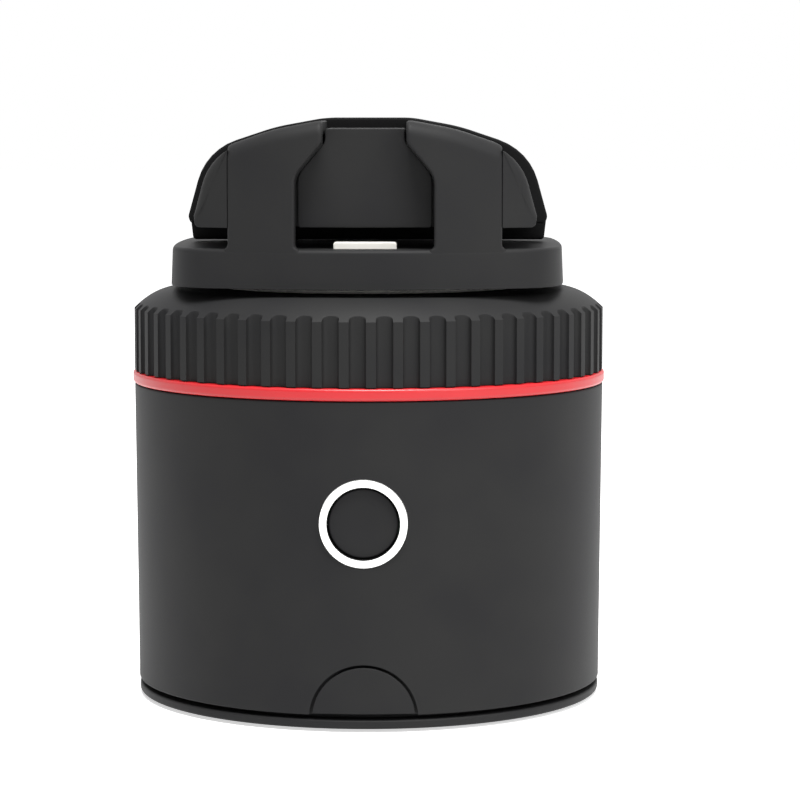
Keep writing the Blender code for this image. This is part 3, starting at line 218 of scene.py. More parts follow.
def noise(tree, place, size, detail):
    """Noise from 0 to 1 whose features are about this many millimetres across."""
    return add(tree, "ShaderNodeTexNoise", {"Vector": place, "Scale": 1 / (size * MM),
                                            "Detail": detail}).outputs["Fac"]


def ramp(tree, value, dark, light, ends=(0.0, 1.0)):
    """A colour that runs between two hex tones as a value runs between two ends."""
    tone = add(tree, "ShaderNodeValToRGB", {"Fac": value})
    for element, position, colour in zip(tone.color_ramp.elements, ends, (dark, light)):
        element.position = position
        element.color = linear(colour)
    return tone.outputs["Color"]


def between(tree, value, low, high, start=0.0, stop=1.0):
    """A value from start to stop mapped to run from low to high."""
    return add(tree, "ShaderNodeMapRange", {"Value": value, "From Min": start, "From Max": stop,
                                            "To Min": low, "To Max": high}).outputs["Result"]


def bumps(tree, height, strength, deep):
    """A surface tilted by heights from 0 to 1, for bumps of this many millimetres."""
    return add(tree, "ShaderNodeBump", {"Height": height, "Strength": strength,
                                        "Distance": deep * MM}).outputs["Normal"]


# %% [markdown]
# Soft-touch plastic is ABS with a thin rubbery lacquer. It is nearly black, has no clear reflection,
# and goes pale towards its edges because every dull surface reflects more at a glancing angle. The
# lacquer's grain is about a tenth of a millimetre and is drawn a little coarser so that it shows.

# %% Soft-touch plastic
GRAIN = 0.16
CLOUD = 14.0

soft_touch, tree, shader, place = new_material("soft_touch_lacquer_on_abs")
grain, cloud = noise(tree, place, GRAIN, 3.0), noise(tree, place, CLOUD, 2.0)
wire(tree, shader, {
    "Base Color": ramp(tree, cloud, "1F1F20", "232323", ends=(0.35, 0.65)),
    "Roughness": between(tree, grain, 0.5, 0.62),
    "Normal": bumps(tree, grain, strength=0.12, deep=0.02),
    "IOR": 1.46,
    "Specular IOR Level": 0.14,
})

# %% [markdown]
# The pads, the foot ring and the sleeve round the button are moulded rubber. Rubber is duller than
# the lacquer and a shade darker, with a coarser, softer grain left by the spark-eroded mould.

# %% Moulded rubber
MOULD_GRAIN = 0.3

rubber, tree, shader, place = new_material("moulded_silicone_rubber")
grain = noise(tree, place, MOULD_GRAIN, 4.0)
wire(tree, shader, {
    "Base Color": ramp(tree, grain, "0B0B0C", "121212"),
    "Roughness": 0.78,
    "Normal": bumps(tree, grain, strength=0.25, deep=0.03),
    "IOR": 1.43,
    "Specular IOR Level": 0.12,
})

# %% [markdown]
# The red ring is dyed ABS straight from the mould: a clean, saturated red with a satin skin. Only a
# very slight unevenness in the dye and in the polish keeps it from looking like paint.

# %% Red ABS
DYE_FLOW = 6.0

red_abs, tree, shader, place = new_material("dyed_red_abs")
flow = noise(tree, place, DYE_FLOW, 2.0)
wire(tree, shader, {
    "Base Color": ramp(tree, flow, "B7191F", "C21F25"),
    "Roughness": between(tree, flow, 0.3, 0.4),
    "IOR": 1.5,
})

# %% [markdown]
# The ring round the button is a light guide in opal acrylic. A weak emission in its own colour is a
# painted glow that makes it look evenly white and hides its edges. A faint cloudiness is the scattering
# powder.

# %% Opal acrylic
POWDER = 1.2

opal, tree, shader, place = new_material("opal_acrylic_painted_glow")
milk_and_glow = ramp(tree, noise(tree, place, POWDER, 2.0), "F2F2F0", "FAFAF8")
wire(tree, shader, {
    "Base Color": milk_and_glow,
    # painted glow: the ring emits a little of its own milky colour so that it reads as an even white
    "Emission Color": milk_and_glow,
    "Emission Strength": 0.35,
    "Roughness": 0.35,
    "IOR": 1.49,
})

# %% [markdown]
# Natural acetal is the slippery milky plastic of small gears and bushes. The index mark is made of
# it too. It is slightly warm and has a waxy sheen.

# %% Natural acetal
MILK = 2.5

acetal, tree, shader, place = new_material("natural_acetal")
wire(tree, shader, {
    "Base Color": ramp(tree, noise(tree, place, MILK, 2.0), "F0EDE4", "F8F6EF"),
    "Roughness": 0.42,
    "IOR": 1.48,
})

# %% [markdown]
# The metals: ground steel for rods, screws and races, turned brass for the tripod bush and pinion,
# and blackened steel for the plates. A metal's colour is its reflection, so the interest is in the
# fine marks that the tool leaves. On the two bare metals they are stretched noise, about a millimetre
# long one way and a tenth the other. The blackened steel is only mottled.

# %% Metals


def tooled_metal(name, dark, light, rough_low, rough_high, mark, stretch):
    """A metal whose tool marks are noise, drawn out along each axis whose scale is below one."""
    material, tree, shader, place = new_material(name)
    along = add(tree, "ShaderNodeMapping", {"Vector": place, "Scale": stretch}).outputs["Vector"]
    marks = noise(tree, along, mark, 3.0)
    wire(tree, shader, {
        "Base Color": ramp(tree, marks, dark, light),
        "Roughness": between(tree, marks, rough_low, rough_high),
        "Normal": bumps(tree, marks, strength=0.15, deep=0.01),
        "Metallic": 1.0,
    })
    return material


steel = tooled_metal("ground_steel", "B4B1AB", "CFCCC6", 0.2, 0.34, 0.12, (1.0, 0.08, 1.0))
brass = tooled_metal("turned_brass", "B89452", "D0AE6A", 0.22, 0.36, 0.1, (0.15, 0.15, 1.0))
black_steel = tooled_metal("blackened_steel", "26262A", "34343A", 0.35, 0.5, 0.4, (1.0, 1.0, 1.0))

# %% [markdown]
# Three more finishes are only seen when the mount is taken apart: the solder mask of the circuit
# boards, the plain wrap of the battery, and the leads' insulation.

# %% Circuit board, battery wrap and insulation


def plain_plastic(name, dark, light, roughness, patch):
    """A plastic whose colour drifts between two near values over patches of one size."""
    material, tree, shader, place = new_material(name)
    drift = ramp(tree, noise(tree, place, patch, 3.0), dark, light)
    wire(tree, shader, {"Base Color": drift, "Roughness": roughness})
    return material


board_green = plain_plastic("solder_mask", "174A30", "1F5E3D", 0.35, 3.0)
cell_wrap = plain_plastic("battery_shrink_wrap", "3F628E", "4C72A2", 0.3, 5.0)
insulation = plain_plastic("lead_insulation", "7E1B1B", "8F2424", 0.5, 1.0)

FINISHES = {
    "soft_touch_plastic": soft_touch,
    "rubber": rubber,
    "red_plastic": red_abs,
    "light_guide": opal,
    "acetal": acetal,
    "steel": steel,
    "brass": brass,
    "blackened_steel": black_steel,
    "circuit_board": board_green,
    "cell_wrap": cell_wrap,
    "lead_insulation": insulation,
}

# %% [markdown]
# Every solid of the working model takes the material of its slot. The outer ones are replaced by
# finer pieces below, and the inner ones keep their own shape.

# %% Materials of the inner pieces
for row in frame["record"]["subparts"]:
    inner = frame["nodes"][row["node"]]
    inner.data.materials.clear()
    inner.data.materials.append(FINISHES[row["material_slot"]])
print(len(frame["nodes"]), "solids painted")

# %% [markdown]
# Most of the mount is turned: foot, rim, barrel, ring and cover. Each is a profile spun round the
# axis. Real mouldings have no knife edges, so each corner that shows is an arc, and a point just
# before and after the arc keeps the flat beside it flat.

# %% Turned pieces
ROUND = 256
FINE_ROUND = 384
ARC = 6
BESIDE = 0.12
FIT = 0.1
FOOT_INNER = 27.0
FOOT_TOP_EASE = 0.2
FOOT_EASE = 0.35


def eased(corners, closed=True):
    """A 2D line with an arc at each corner, from (x, y, radius).

    The arc's centre lies on the corner's bisector, and the arc touches both sides.
    """
    corners = [tuple(map(float, corner)) for corner in corners]
    line = []
    for i, (x, y, radius) in enumerate(corners):
        here = np.array((x, y))
        if radius == 0 or (not closed and i in (0, len(corners) - 1)):
            line.append(here)
            continue
        back = np.array(corners[i - 1][:2]) - here
        ahead = np.array(corners[(i + 1) % len(corners)][:2]) - here
        back, ahead = back / np.linalg.norm(back), ahead / np.linalg.norm(ahead)
        half = math.acos(np.clip(back @ ahead, -1, 1)) / 2
        reach = radius / math.tan(half)
        middle = here + (back + ahead) / np.linalg.norm(back + ahead) * radius / math.sin(half)
        a, b = here + back * reach - middle, here + ahead * reach - middle
        sweep = math.atan2(a[0] * b[1] - a[1] * b[0], a @ b)
        first = math.atan2(a[1], a[0])
        angles = first + sweep * np.linspace(0, 1, ARC + 1)
        arc = middle + radius * np.stack([np.cos(angles), np.sin(angles)], axis=-1)
        beside = min(BESIDE, reach / 2)
        line += [arc[0] + back * beside, *arc, arc[-1] + ahead * beside]
    return np.array(line)


def spun(profile, columns=ROUND):
    """Points of a profile of (radius, height) turned about the upright axis."""
    angle = np.linspace(0, 2 * math.pi, columns, endpoint=False)
    r, z = profile[:, :1], profile[:, 1:]
    return np.stack([r * np.cos(angle), r * np.sin(angle),
                     np.broadcast_to(z, (len(profile), columns))], axis=-1)


_, foot_high = box_mm("foot_ring")
foot_profile = eased([(foot_high[0], foot_high[2], FOOT_TOP_EASE), (foot_high[0], 0, FOOT_EASE),
                      (FOOT_INNER, 0, FOOT_EASE), (FOOT_INNER, foot_high[2], FOOT_TOP_EASE)])
foot = solid("foot", skin(spun(foot_profile), loop=True))
finish_piece(foot, "base", "rubber", rubber, "foot_ring")

# %% [markdown]
# The base plate shows as a thin rim under the lower seam, with a small round on its lower edge that
# catches a line of light. Underneath, the rubber foot sits in its groove and the tripod bush in a
# boss at the middle.

# %% Base plate
base_low, base_high = box_mm("base_plate")
RIM_TOP = 1.8
SPIGOT_TOP = 3.4
SPIGOT_R = 33.3
GROOVE_TOP = foot_high[2] + FIT
BOSS_R = 7.5
BUSH_HOLE_R = 4.7
RIM_TOP_EASE = 0.3
RIM_EASE = 0.35
GROOVE_EASE = 0.1
UNDER_EASE = 0.15
rim_r = base_high[0]
base_profile = eased([
    (SPIGOT_R, SPIGOT_TOP, 0), (SPIGOT_R, RIM_TOP, 0), (rim_r, RIM_TOP, RIM_TOP_EASE),
    (rim_r, base_low[2], RIM_EASE), (foot_high[0] + FIT, base_low[2], GROOVE_EASE),
    (foot_high[0] + FIT, GROOVE_TOP, 0), (FOOT_INNER - FIT, GROOVE_TOP, 0),
    (FOOT_INNER - FIT, base_low[2], UNDER_EASE), (BUSH_HOLE_R, base_low[2], UNDER_EASE),
    (BUSH_HOLE_R, base_high[2], 0), (BOSS_R, base_high[2], 0), (BOSS_R, SPIGOT_TOP, 0),
])
base = solid("base_rim", skin(spun(base_profile), loop=True))
finish_piece(base, "base", "soft_touch_plastic", soft_touch, "base_plate")

# %% [markdown]
# The tripod bush is a brass cup with a quarter-inch thread, twenty turns to the inch. A thread is
# easy on a grid: the bore's radius at each point is a triangle wave of the height less the part of
# a turn that the angle stands for, so its crests climb one pitch for each time round.

# %% Tripod bush with its thread
bush_low, bush_high = box_mm("tripod_bush")
THREAD_PITCH = 1.27
THREAD_OUTER = 3.0
THREAD_DEEP = 0.42
THREAD_ROWS = 72
BUSH_ROOF = 0.9
BUSH_WALL = 1.0
BUSH_EASE = 0.2
BUSH_COLUMNS = 96
MOUTH_WIDE = 0.35
MIDDLE_SHARE = 0.3
LEAD_IN = 0.5
BORE_TOP = bush_high[2] - BUSH_ROOF
angle = np.linspace(0, 2 * math.pi, BUSH_COLUMNS, endpoint=False)
height = np.linspace(bush_low[2] + LEAD_IN, BORE_TOP - LEAD_IN, THREAD_ROWS)[:, None]
wave = (height / THREAD_PITCH - angle / (2 * math.pi)) % 1.0
fade = np.clip(np.minimum(height - height[0], height[-1] - height) / LEAD_IN, 0, 1)
thread_r = THREAD_OUTER - THREAD_DEEP * np.abs(2 * wave - 1) * fade
thread = np.stack([thread_r * np.cos(angle), thread_r * np.sin(angle),
                   np.broadcast_to(height, thread_r.shape)], axis=-1)
outer = eased([(bush_high[0] - BUSH_WALL, bush_high[2], 0), (bush_high[0], bush_high[2], BUSH_EASE),
               (bush_high[0], bush_low[2], BUSH_EASE), (THREAD_OUTER + MOUTH_WIDE, bush_low[2], 0)],
              closed=False)
end = np.array([(THREAD_OUTER, BORE_TOP - LEAD_IN / 2), (THREAD_OUTER, BORE_TOP),
                (THREAD_OUTER * MIDDLE_SHARE, BORE_TOP)])
bush = solid("threaded_bush", skin(np.concatenate([spun(outer, BUSH_COLUMNS), thread,
                                                   spun(end, BUSH_COLUMNS)])))
finish_piece(bush, "base", "brass", brass, "tripod_bush")

# %% [markdown]
# The barrel is a plain moulding that widens very slightly upwards, so that it leaves its mould.
# Three openings are cut into it: the round one for the button, the shallow pocket for the flap and
# the socket's slot inside that pocket. A Boolean is the right tool for an opening through a curved
# wall, and the round cutter's mouth is flared a little so that its edge is broken, not sharp.

# %% Barrel
barrel_low, barrel_high = box_mm("body_shell")
BARREL_BOTTOM_R = 35.8
BARREL_TOP_R = barrel_high[0]
BARREL_IN_R = 33.6
BARREL_IN_DRAFT = 0.2
BARREL_EASE = 0.25
BUTTON_Z = 30.6


def barrel_r(z):
    """The barrel's radius at a height: a straight taper between its two ends."""
    share = (z - barrel_low[2]) / (barrel_high[2] - barrel_low[2])
    return BARREL_BOTTOM_R + (BARREL_TOP_R - BARREL_BOTTOM_R) * share


def barrel_y(x, z):
    """Where the barrel's front face is, for a point seen at x and z."""
    return -np.sqrt(barrel_r(z) ** 2 - x ** 2)


def cut(piece, *cutters):
    """Cut a piece by closed surfaces and keep the result as its mesh."""
    for cutter in cutters:
        step = piece.modifiers.new(cutter.name, "BOOLEAN")
        step.operation = "DIFFERENCE"
        step.solver = "EXACT"
        step.object = cutter
    graph = bpy.context.evaluated_depsgraph_get()
    mesh = bpy.data.meshes.new_from_object(piece.evaluated_get(graph))
    piece.modifiers.clear()
    piece.data = mesh
    for cutter in cutters:
        bpy.data.objects.remove(cutter)
    mesh.shade_smooth()
    mesh.set_sharp_from_angle(angle=SHARP)


def facing_front(profile, at_z, columns=128):
    """Points of a profile of (radius, y) turned about the button's axis, which runs along y."""
    angle = np.linspace(0, 2 * math.pi, columns, endpoint=False)
    r, y = profile[:, :1], profile[:, 1:]
    return np.stack([r * np.cos(angle), np.broadcast_to(y, (len(profile), columns)),
                     at_z + r * np.sin(angle)], axis=-1)


def prism(outline, near, far):
    """A straight-sided block whose outline is seen from the front."""
    rows = [np.insert(outline, 1, y, axis=1) for y in (near, far)]
    return skin(np.array(rows))


def half_disc(radius, centre_z, low_z, steps=48):
    """A half disc standing on a straight edge, anticlockwise from its lower right corner."""
    angle = np.linspace(0, math.pi, steps)
    arch = np.stack([radius * np.cos(angle), centre_z + radius * np.sin(angle)], axis=-1)
    return np.vstack([[(radius, low_z)], arch, [(-radius, low_z)]])


def stadium(half_wide, half_tall, centre_z, steps=12):
    """A slot with round ends, anticlockwise."""
    angle = np.linspace(-math.pi / 2, math.pi / 2, steps)
    end = np.stack([half_wide - half_tall + half_tall * np.cos(angle), half_tall * np.sin(angle)], -1)
    return np.vstack([end, -end]) + (0, centre_z)


barrel_profile = eased([
    (BARREL_TOP_R, barrel_high[2], BARREL_EASE), (BARREL_BOTTOM_R, barrel_low[2], BARREL_EASE),
    (BARREL_IN_R, barrel_low[2], 0), (BARREL_IN_R + BARREL_IN_DRAFT, barrel_high[2], 0),
])
barrel = solid("barrel", skin(spun(barrel_profile, FINE_ROUND), loop=True))

LIGHT_R = 6.4
HOLE_R = LIGHT_R + FIT
HOLE_FLARE = 0.1
FLARE_DEEP = (0.05, 0.15)
HOLE_DEEP = 6.0
CUT_PAST = 2.0
face_y = -barrel_r(BUTTON_Z)
flare = np.array([
    (HOLE_R + HOLE_FLARE, face_y - CUT_PAST), (HOLE_R + HOLE_FLARE, face_y + FLARE_DEEP[0]),
    (HOLE_R, face_y + FLARE_DEEP[1]), (HOLE_R, face_y + HOLE_DEEP)])
button_cutter = solid("button_cutter", skin(facing_front(flare, BUTTON_Z)))

flap_low, flap_high = box_mm("port_flap")
FLAP_R = 7.5
FLAP_SUNK = 0.45
FLAP_Z = barrel_low[2] - FLAP_SUNK
GROOVE = 0.45
POCKET_DOWN = 3.0
POCKET_FRONT = -40.0
pocket = half_disc(FLAP_R + GROOVE, FLAP_Z, barrel_low[2] - POCKET_DOWN)
pocket_cutter = solid("pocket_cutter", prism(pocket, POCKET_FRONT, flap_high[1] + GROOVE))

socket_low, socket_high = box_mm("port_socket")
PORT_HALF = (4.7, 1.8)
PORT_DEPTHS = (-41.0, -30.0)
socket_z = (socket_low[2] + socket_high[2]) / 2
port_cutter = solid("port_cutter", prism(stadium(*PORT_HALF, socket_z), *PORT_DEPTHS))
cut(barrel, button_cutter, pocket_cutter, port_cutter)
finish_piece(barrel, "base", "soft_touch_plastic", soft_touch, "body_shell")

# %% [markdown]
# A slab is the other shape that this object uses again and again: an outline seen from the front,
# given thickness, with its front and back faces following any curve and its edges rounded. Its rows
# run from the middle of the front face out to the edge, over it, and back to the middle behind.

# %% Slabs
FIRST_RING = 0.06
RING_CROWD = 0.8


def outward(outline):
    """Unit vectors square to an anticlockwise outline, pointing out of it."""
    along = np.roll(outline, -1, axis=0) - np.roll(outline, 1, axis=0)
    along /= np.linalg.norm(along, axis=1, keepdims=True)
    return np.stack([along[:, 1], -along[:, 0]], axis=-1)


def slab(outline, front, back, ease_front, ease_back, rings=10, quarter=6):
    """A plate with rounded edges. front and back give y for arrays of x and z.

    An ease is the edge's radius, one number or one for each point of the outline.
    """
    normal = outward(outline)
    ease_front, ease_back = (np.broadcast_to(e, len(outline)) for e in (ease_front, ease_back))
    middle = (outline.min(axis=0) + outline.max(axis=0)) / 2
    rows = []

    def face(ease, surface, shares):
        inner = outline - normal * ease[:, None]
        for share in shares:
            flat = middle + (inner - middle) * share
            rows.append((flat, surface(flat[:, 0], flat[:, 1])))

    def edge(ease, surface, angles, sign):
        for a in angles:
            flat = outline - normal * ease[:, None] * (1 - math.sin(a))
            y = surface(flat[:, 0], flat[:, 1])
            rows.append((flat, y + sign * ease * (1 - math.cos(a))))

    spread = np.linspace(FIRST_RING, 1, rings) ** RING_CROWD
    turn = np.linspace(0, math.pi / 2, quarter + 1)[1:]
    face(ease_front, front, spread)
    edge(ease_front, front, turn, 1)
    edge(ease_back, back, turn[::-1], -1)
    face(ease_back, back, spread[::-1])
    return skin(np.array([np.insert(flat, 1, y, axis=1) for flat, y in rows]))


def level(value):
    """A flat face at one depth."""
    return lambda x, z: np.full_like(x, value)


def dense(outline, step):
    """The same outline with more points on its long straight parts."""
    points = []
    for a, b in zip(outline, np.roll(outline, -1, axis=0)):
        count = max(1, math.ceil(np.linalg.norm(b - a) / step))
        points.append(a + (b - a) * np.linspace(0, 1, count, endpoint=False)[:, None])
    return np.vstack(points)


# %% [markdown]
# The port flap is a half-moon with the barrel's own finish, flush in its pocket. Its front follows
# the barrel, its back is flat, and the fine groove round it reads as a dark line.

# %% Port flap
FLAP_EASE = 0.12
FLAP_STEP = 0.5
ARCH_CLEAR = 0.05
hinge_x = FLAP_R - 0.01
arch = half_disc(FLAP_R, FLAP_Z, flap_low[2])
arch = arch[arch[:, 1] > flap_low[2] + ARCH_CLEAR]
flap_outline = np.vstack([[(hinge_x, flap_low[2])], arch, [(-hinge_x, flap_low[2])]])
flap = solid("charging_flap", slab(dense(flap_outline, FLAP_STEP), barrel_y, level(flap_high[1]),
                                   FLAP_EASE, FLAP_EASE))
finish_piece(flap, "flap", "soft_touch_plastic", soft_touch, "port_flap")

# %% [markdown]
# The light guide is a short tube with a flat front, so it stands a little proud of the round barrel at
# its two sides and throws a thin shadow there. A black sleeve inside it keeps the ring's painted glow
# off the button, whose cap sits a little way down and is slightly dished for a thumb.

# %% Light ring and button
LIGHT_FRONT = box_mm("light_ring")[0][1] - 0.05
LIGHT_BACK = LIGHT_FRONT + 3.6
LIGHT_IN_R = 5.34
LIGHT_EASE = 0.08
LIGHT_COLUMNS = 160
SLEEVE_R = LIGHT_IN_R - 0.005
SLEEVE_WALL = 0.09
SLEEVE_EASE = 0.02
SLEEVE_SET_IN = 0.12


def tube_section(outer, inner, front, back, ease):
    """A short tube's wall as (radius, y), with all four corners rounded alike."""
    return eased([(outer, front, ease), (outer, back, ease), (inner, back, ease), (inner, front, ease)])


guide = tube_section(LIGHT_R, LIGHT_IN_R, LIGHT_FRONT, LIGHT_BACK, LIGHT_EASE)
light = solid("light_guide_ring", skin(facing_front(guide, BUTTON_Z, LIGHT_COLUMNS), loop=True))
finish_piece(light, "base", "light_guide", opal, "light_ring")
sleeve = tube_section(SLEEVE_R, SLEEVE_R - SLEEVE_WALL, LIGHT_FRONT + SLEEVE_SET_IN, LIGHT_BACK,
                      SLEEVE_EASE)
shield = solid("light_shield", skin(facing_front(sleeve, BUTTON_Z, LIGHT_COLUMNS), loop=True))
finish_piece(shield, "base", "rubber", rubber)

cap_low, cap_high = box_mm("button_cap")
CAP_R = cap_high[0]
CAP_DISH = 0.22
CAP_LIP = 0.45
CAP_EASE = 0.3
STEM_R = 1.5
STEM_EASE = 0.2
BACK_EASE = 0.1
MIDDLE_R = (0.4, 0.3)
cap_face, stem_end = cap_low[1], cap_high[1]
cap_back = cap_face + 1.2
dish_r = np.linspace(MIDDLE_R[0], CAP_R - CAP_LIP, 10)
dish = np.stack([dish_r, cap_face + CAP_DISH * np.cos(dish_r / dish_r[-1] * math.pi / 2) ** 2], -1)
rim = eased([(CAP_R - CAP_LIP, cap_face, 0), (CAP_R, cap_face, CAP_EASE), (CAP_R, cap_back, BACK_EASE),
             (STEM_R, cap_back, STEM_EASE), (STEM_R, stem_end, BACK_EASE),
             (MIDDLE_R[1], stem_end, 0)], closed=False)
cap = solid("thumb_button", skin(facing_front(np.vstack([dish, rim[1:]]), BUTTON_Z),
                                 ends=((0, cap_face + CAP_DISH, BUTTON_Z), None)))
finish_piece(cap, "button", "soft_touch_plastic", soft_touch, "button_cap")

# %% [markdown]
# The red ring stands a hair proud of the barrel and is rounded, so its upper third holds the light
# and its lower edge goes deep red.

# %% Accent ring
ring_low, ring_high = box_mm("accent_ring")
RING_IN = 33.85
RING_EASE = 0.45
ring_profile = eased([(ring_high[0], ring_high[2], RING_EASE), (ring_high[0], ring_low[2], RING_EASE),
                      (RING_IN, ring_low[2], 0), (RING_IN, ring_high[2], 0)])
accent = solid("red_ring", skin(spun(ring_profile, FINE_ROUND), loop=True))
finish_piece(accent, "base", "red_plastic", red_abs, "accent_ring")

# %% [markdown]
# The grip cover is the richest piece: a soft shoulder above 58 flutes. A flute is a straight groove
# with steep walls and a rounded floor, cut upwards until it runs out in the shoulder, which gives it
# its arched top for nothing. On the grid that is one rule: the radius is the smaller of the shoulder's
# and the groove's. Columns crowd at the groove's walls and rows crowd where the arches are.

# %% Grip cover
_, cover_high = box_mm("grip_cover")
FLUTES = 58
FLUTE_TURN = math.radians(-91.3)
FLUTE_HALF = 1.25
FLUTE_DEEP = 0.95
FLUTE_BLUNT = 3.0
COVER_R = 36.2
COVER_BOTTOM = ring_high[2] + FIT
COVER_EDGE = 0.1
COVER_WALL = (2.5, 4.6)
SHOULDER_WIDE = 6.4
SHOULDER_TALL = 3.1
ARCH_FROM = 0.7
COVER_BORE = 10.6
BORE_EDGE = 0.2
SEAT_R = 28.0
cover_top = cover_high[2]
cover_roof = cover_top - 2.2

pitch = 2 * math.pi * COVER_R / FLUTES
wall_shares = np.array([0, 0.25, 0.5, 0.72, 0.88, 0.96, 0.992, 1.0])
half_flute = np.concatenate([wall_shares * FLUTE_HALF, [FLUTE_HALF + 0.05, pitch / 2]])
across = np.concatenate([-half_flute[:0:-1], half_flute[:-1]])
columns = np.arange(FLUTES)[:, None] * pitch + across
cover_angle = (columns / COVER_R).reshape(-1) + FLUTE_TURN
from_middle = np.tile(across, FLUTES)

share = np.concatenate([np.linspace(0, ARCH_FROM, 10), np.linspace(ARCH_FROM, 1, 30)[1:]])
shoulder = np.stack([COVER_R - SHOULDER_WIDE * (1 - share),
                     cover_top - SHOULDER_TALL * share ** 2], axis=-1)
side_z = np.linspace(shoulder[-1, 1], COVER_BOTTOM + COVER_EDGE, 7)[1:]
side = np.stack([np.full_like(side_z, COVER_R), side_z], axis=-1)
inner = np.array([(COVER_R - COVER_EDGE, COVER_BOTTOM), (COVER_R - COVER_WALL[0], COVER_BOTTOM),
                  (COVER_R - COVER_WALL[1], cover_roof), (COVER_BORE, cover_roof),
                  (COVER_BORE, cover_top - BORE_EDGE), (COVER_BORE + BORE_EDGE, cover_top),
                  (SEAT_R, cover_top)])
cover_profile = np.vstack([shoulder, side, inner])


def flute_r(u):
    """The groove's radius at a distance u from its middle line, as a blunt, deep-walled bowl."""
    near = np.clip(1 - (np.abs(u) / FLUTE_HALF) ** FLUTE_BLUNT, 0, 1)
    return COVER_R - FLUTE_DEEP * near ** (1 / FLUTE_BLUNT)


cover_r = np.repeat(cover_profile[:, :1], len(cover_angle), axis=1)
cover_r = np.minimum(cover_r, flute_r(from_middle))
cover_points = np.stack([cover_r * np.cos(cover_angle), cover_r * np.sin(cover_angle),
                         np.broadcast_to(cover_profile[:, 1:], cover_r.shape)], axis=-1)
cover = solid("knurled_cover", skin(cover_points, loop=True))
finish_piece(cover, "base", "soft_touch_plastic", soft_touch, "grip_cover")

# %% [markdown]
# The head is one moulding: a drum with two straps that grow out of its wall, rise, and fold over the
# top. The drum isn't round. Seen from above it has four flat arcs, a blunter pair at front and
# back and a flatter pair at the sides, that meet in soft corners. So its radius at an angle is the
# smaller of two arcs' reaches, with the corner between them rounded off by a smooth minimum, a
# little more than on the working model.

# %% Drum
head_low, head_high = box_mm("head_shell")
HEAD_HALF = head_high[0]
HEAD_FRONT_R = 52.0
HEAD_SIDE_R = 170.0
HEAD_ARC_Y = HEAD_FRONT_R - HEAD_HALF
CORNER_BLEND = 5.6
DRUM_TOP = 69.8
DRAFT = 0.25
DRUM_WALL = 2.05
DRUM_WEB = 1.7
DRUM_TOP_EASE = 0.6
DRUM_EDGE_EASE = 0.08
DRUM_IN_EASES = (0.1, 0.3)
DRUM_MIDDLE = 0.4
DRUM_COLUMNS = 360


def arc_reach(toward, radius):
    """How far from the axis an arc lies, given the cosine of the angle from its middle."""
    offset = radius - HEAD_HALF
    return np.sqrt(radius ** 2 - offset ** 2 * (1 - toward ** 2)) - offset * toward


def plan_reach(angle):
    """The drum's radius at an angle: the smaller of two arcs, blended where they are nearly equal."""
    front = arc_reach(np.abs(np.sin(angle)), HEAD_FRONT_R)
    side = arc_reach(np.abs(np.cos(angle)), HEAD_SIDE_R)
    mix = np.clip(0.5 + 0.5 * (side - front) / CORNER_BLEND, 0, 1)
    return side + (front - side) * mix - CORNER_BLEND * mix * (1 - mix)


drum_angle = np.linspace(0, 2 * math.pi, DRUM_COLUMNS, endpoint=False)
drum_in_r = HEAD_HALF - DRUM_WALL
drum_profile = eased([
    (DRUM_MIDDLE, DRUM_TOP, 0), (HEAD_HALF - DRAFT, DRUM_TOP, DRUM_TOP_EASE),
    (HEAD_HALF, head_low[2], DRUM_EDGE_EASE), (drum_in_r, head_low[2], DRUM_IN_EASES[0]),
    (drum_in_r, DRUM_TOP - DRUM_WEB, DRUM_IN_EASES[1]), (DRUM_MIDDLE, DRUM_TOP - DRUM_WEB, 0),
], closed=False)
drum_r, drum_z = drum_profile[:, :1], drum_profile[:, 1:]
outside = drum_r > drum_in_r + 0.5
reach = drum_r + np.where(outside, plan_reach(drum_angle) - HEAD_HALF, 0.0)
drum = solid("turning_head", skin(np.stack([
    reach * np.cos(drum_angle), reach * np.sin(drum_angle),
    np.broadcast_to(drum_z, reach.shape)], axis=-1)))

mark_low, mark_high = box_mm("index_mark")
MARK_CORNER = 0.3
FOOT_X = 13.0
FOOT_HALF = 1.5
SLOT_HALF = FOOT_HALF + 0.3
SLOT_FRONT = 1.7
SLOT_BACK = 17.3
SLOT_CORNER = 0.6
SLOT_LOW = DRUM_TOP - 5
SLOT_HIGH = DRUM_TOP + 1
BLOCK_EASE = 0.1


def block(low, high, radius):
    """An upright bar with rounded corners in plan, from its lowest to its highest corner."""
    plan = eased([(low[0], low[1], radius), (high[0], low[1], radius), (high[0], high[1], radius),
                  (low[0], high[1], radius)])
    normal = outward(plan)
    rows = []
    for z, sign in ((low[2], 1), (high[2], -1)):
        turn = np.linspace(0, math.pi / 2, 4)[::sign]
        for a in turn:
            flat = plan - normal * BLOCK_EASE * (1 - math.cos(a))
            rows.append(np.insert(flat, 2, z + sign * BLOCK_EASE * (1 - math.sin(a)), axis=1))
    return skin(np.array(rows))


cutters = [solid("mark_cutter", block(mark_low - FIT, mark_high + FIT, MARK_CORNER))]
for x in (-FOOT_X, FOOT_X):
    cutters.append(solid("slot_cutter", block((x - SLOT_HALF, SLOT_FRONT, SLOT_LOW),
                                              (x + SLOT_HALF, SLOT_BACK, SLOT_HIGH), SLOT_CORNER)))
cut(drum, *cutters)

# %% [markdown]
# The clamp's outline, seen from the front, is shared by the straps, the plate, the pads and the rear
# jaw: nearly upright sides, round upper corners and a long flat brow. It is drawn once.

# %% Clamp outline
plate_bottom = box_mm("front_jaw_plate")[0][2]
DOME_FOOT = 27.0
DOME_WIDE = (27.4, 73.9, 1.2)
DOME_CORNER = (24.6, 84.0, 9.0)
DOME_BROW = (14.0, 87.55, 30.0)
DOME_TOP = (6.6, 88.9, 14.0)
OUTLINE_STEP = 0.8
UPPER_FROM = 76.0


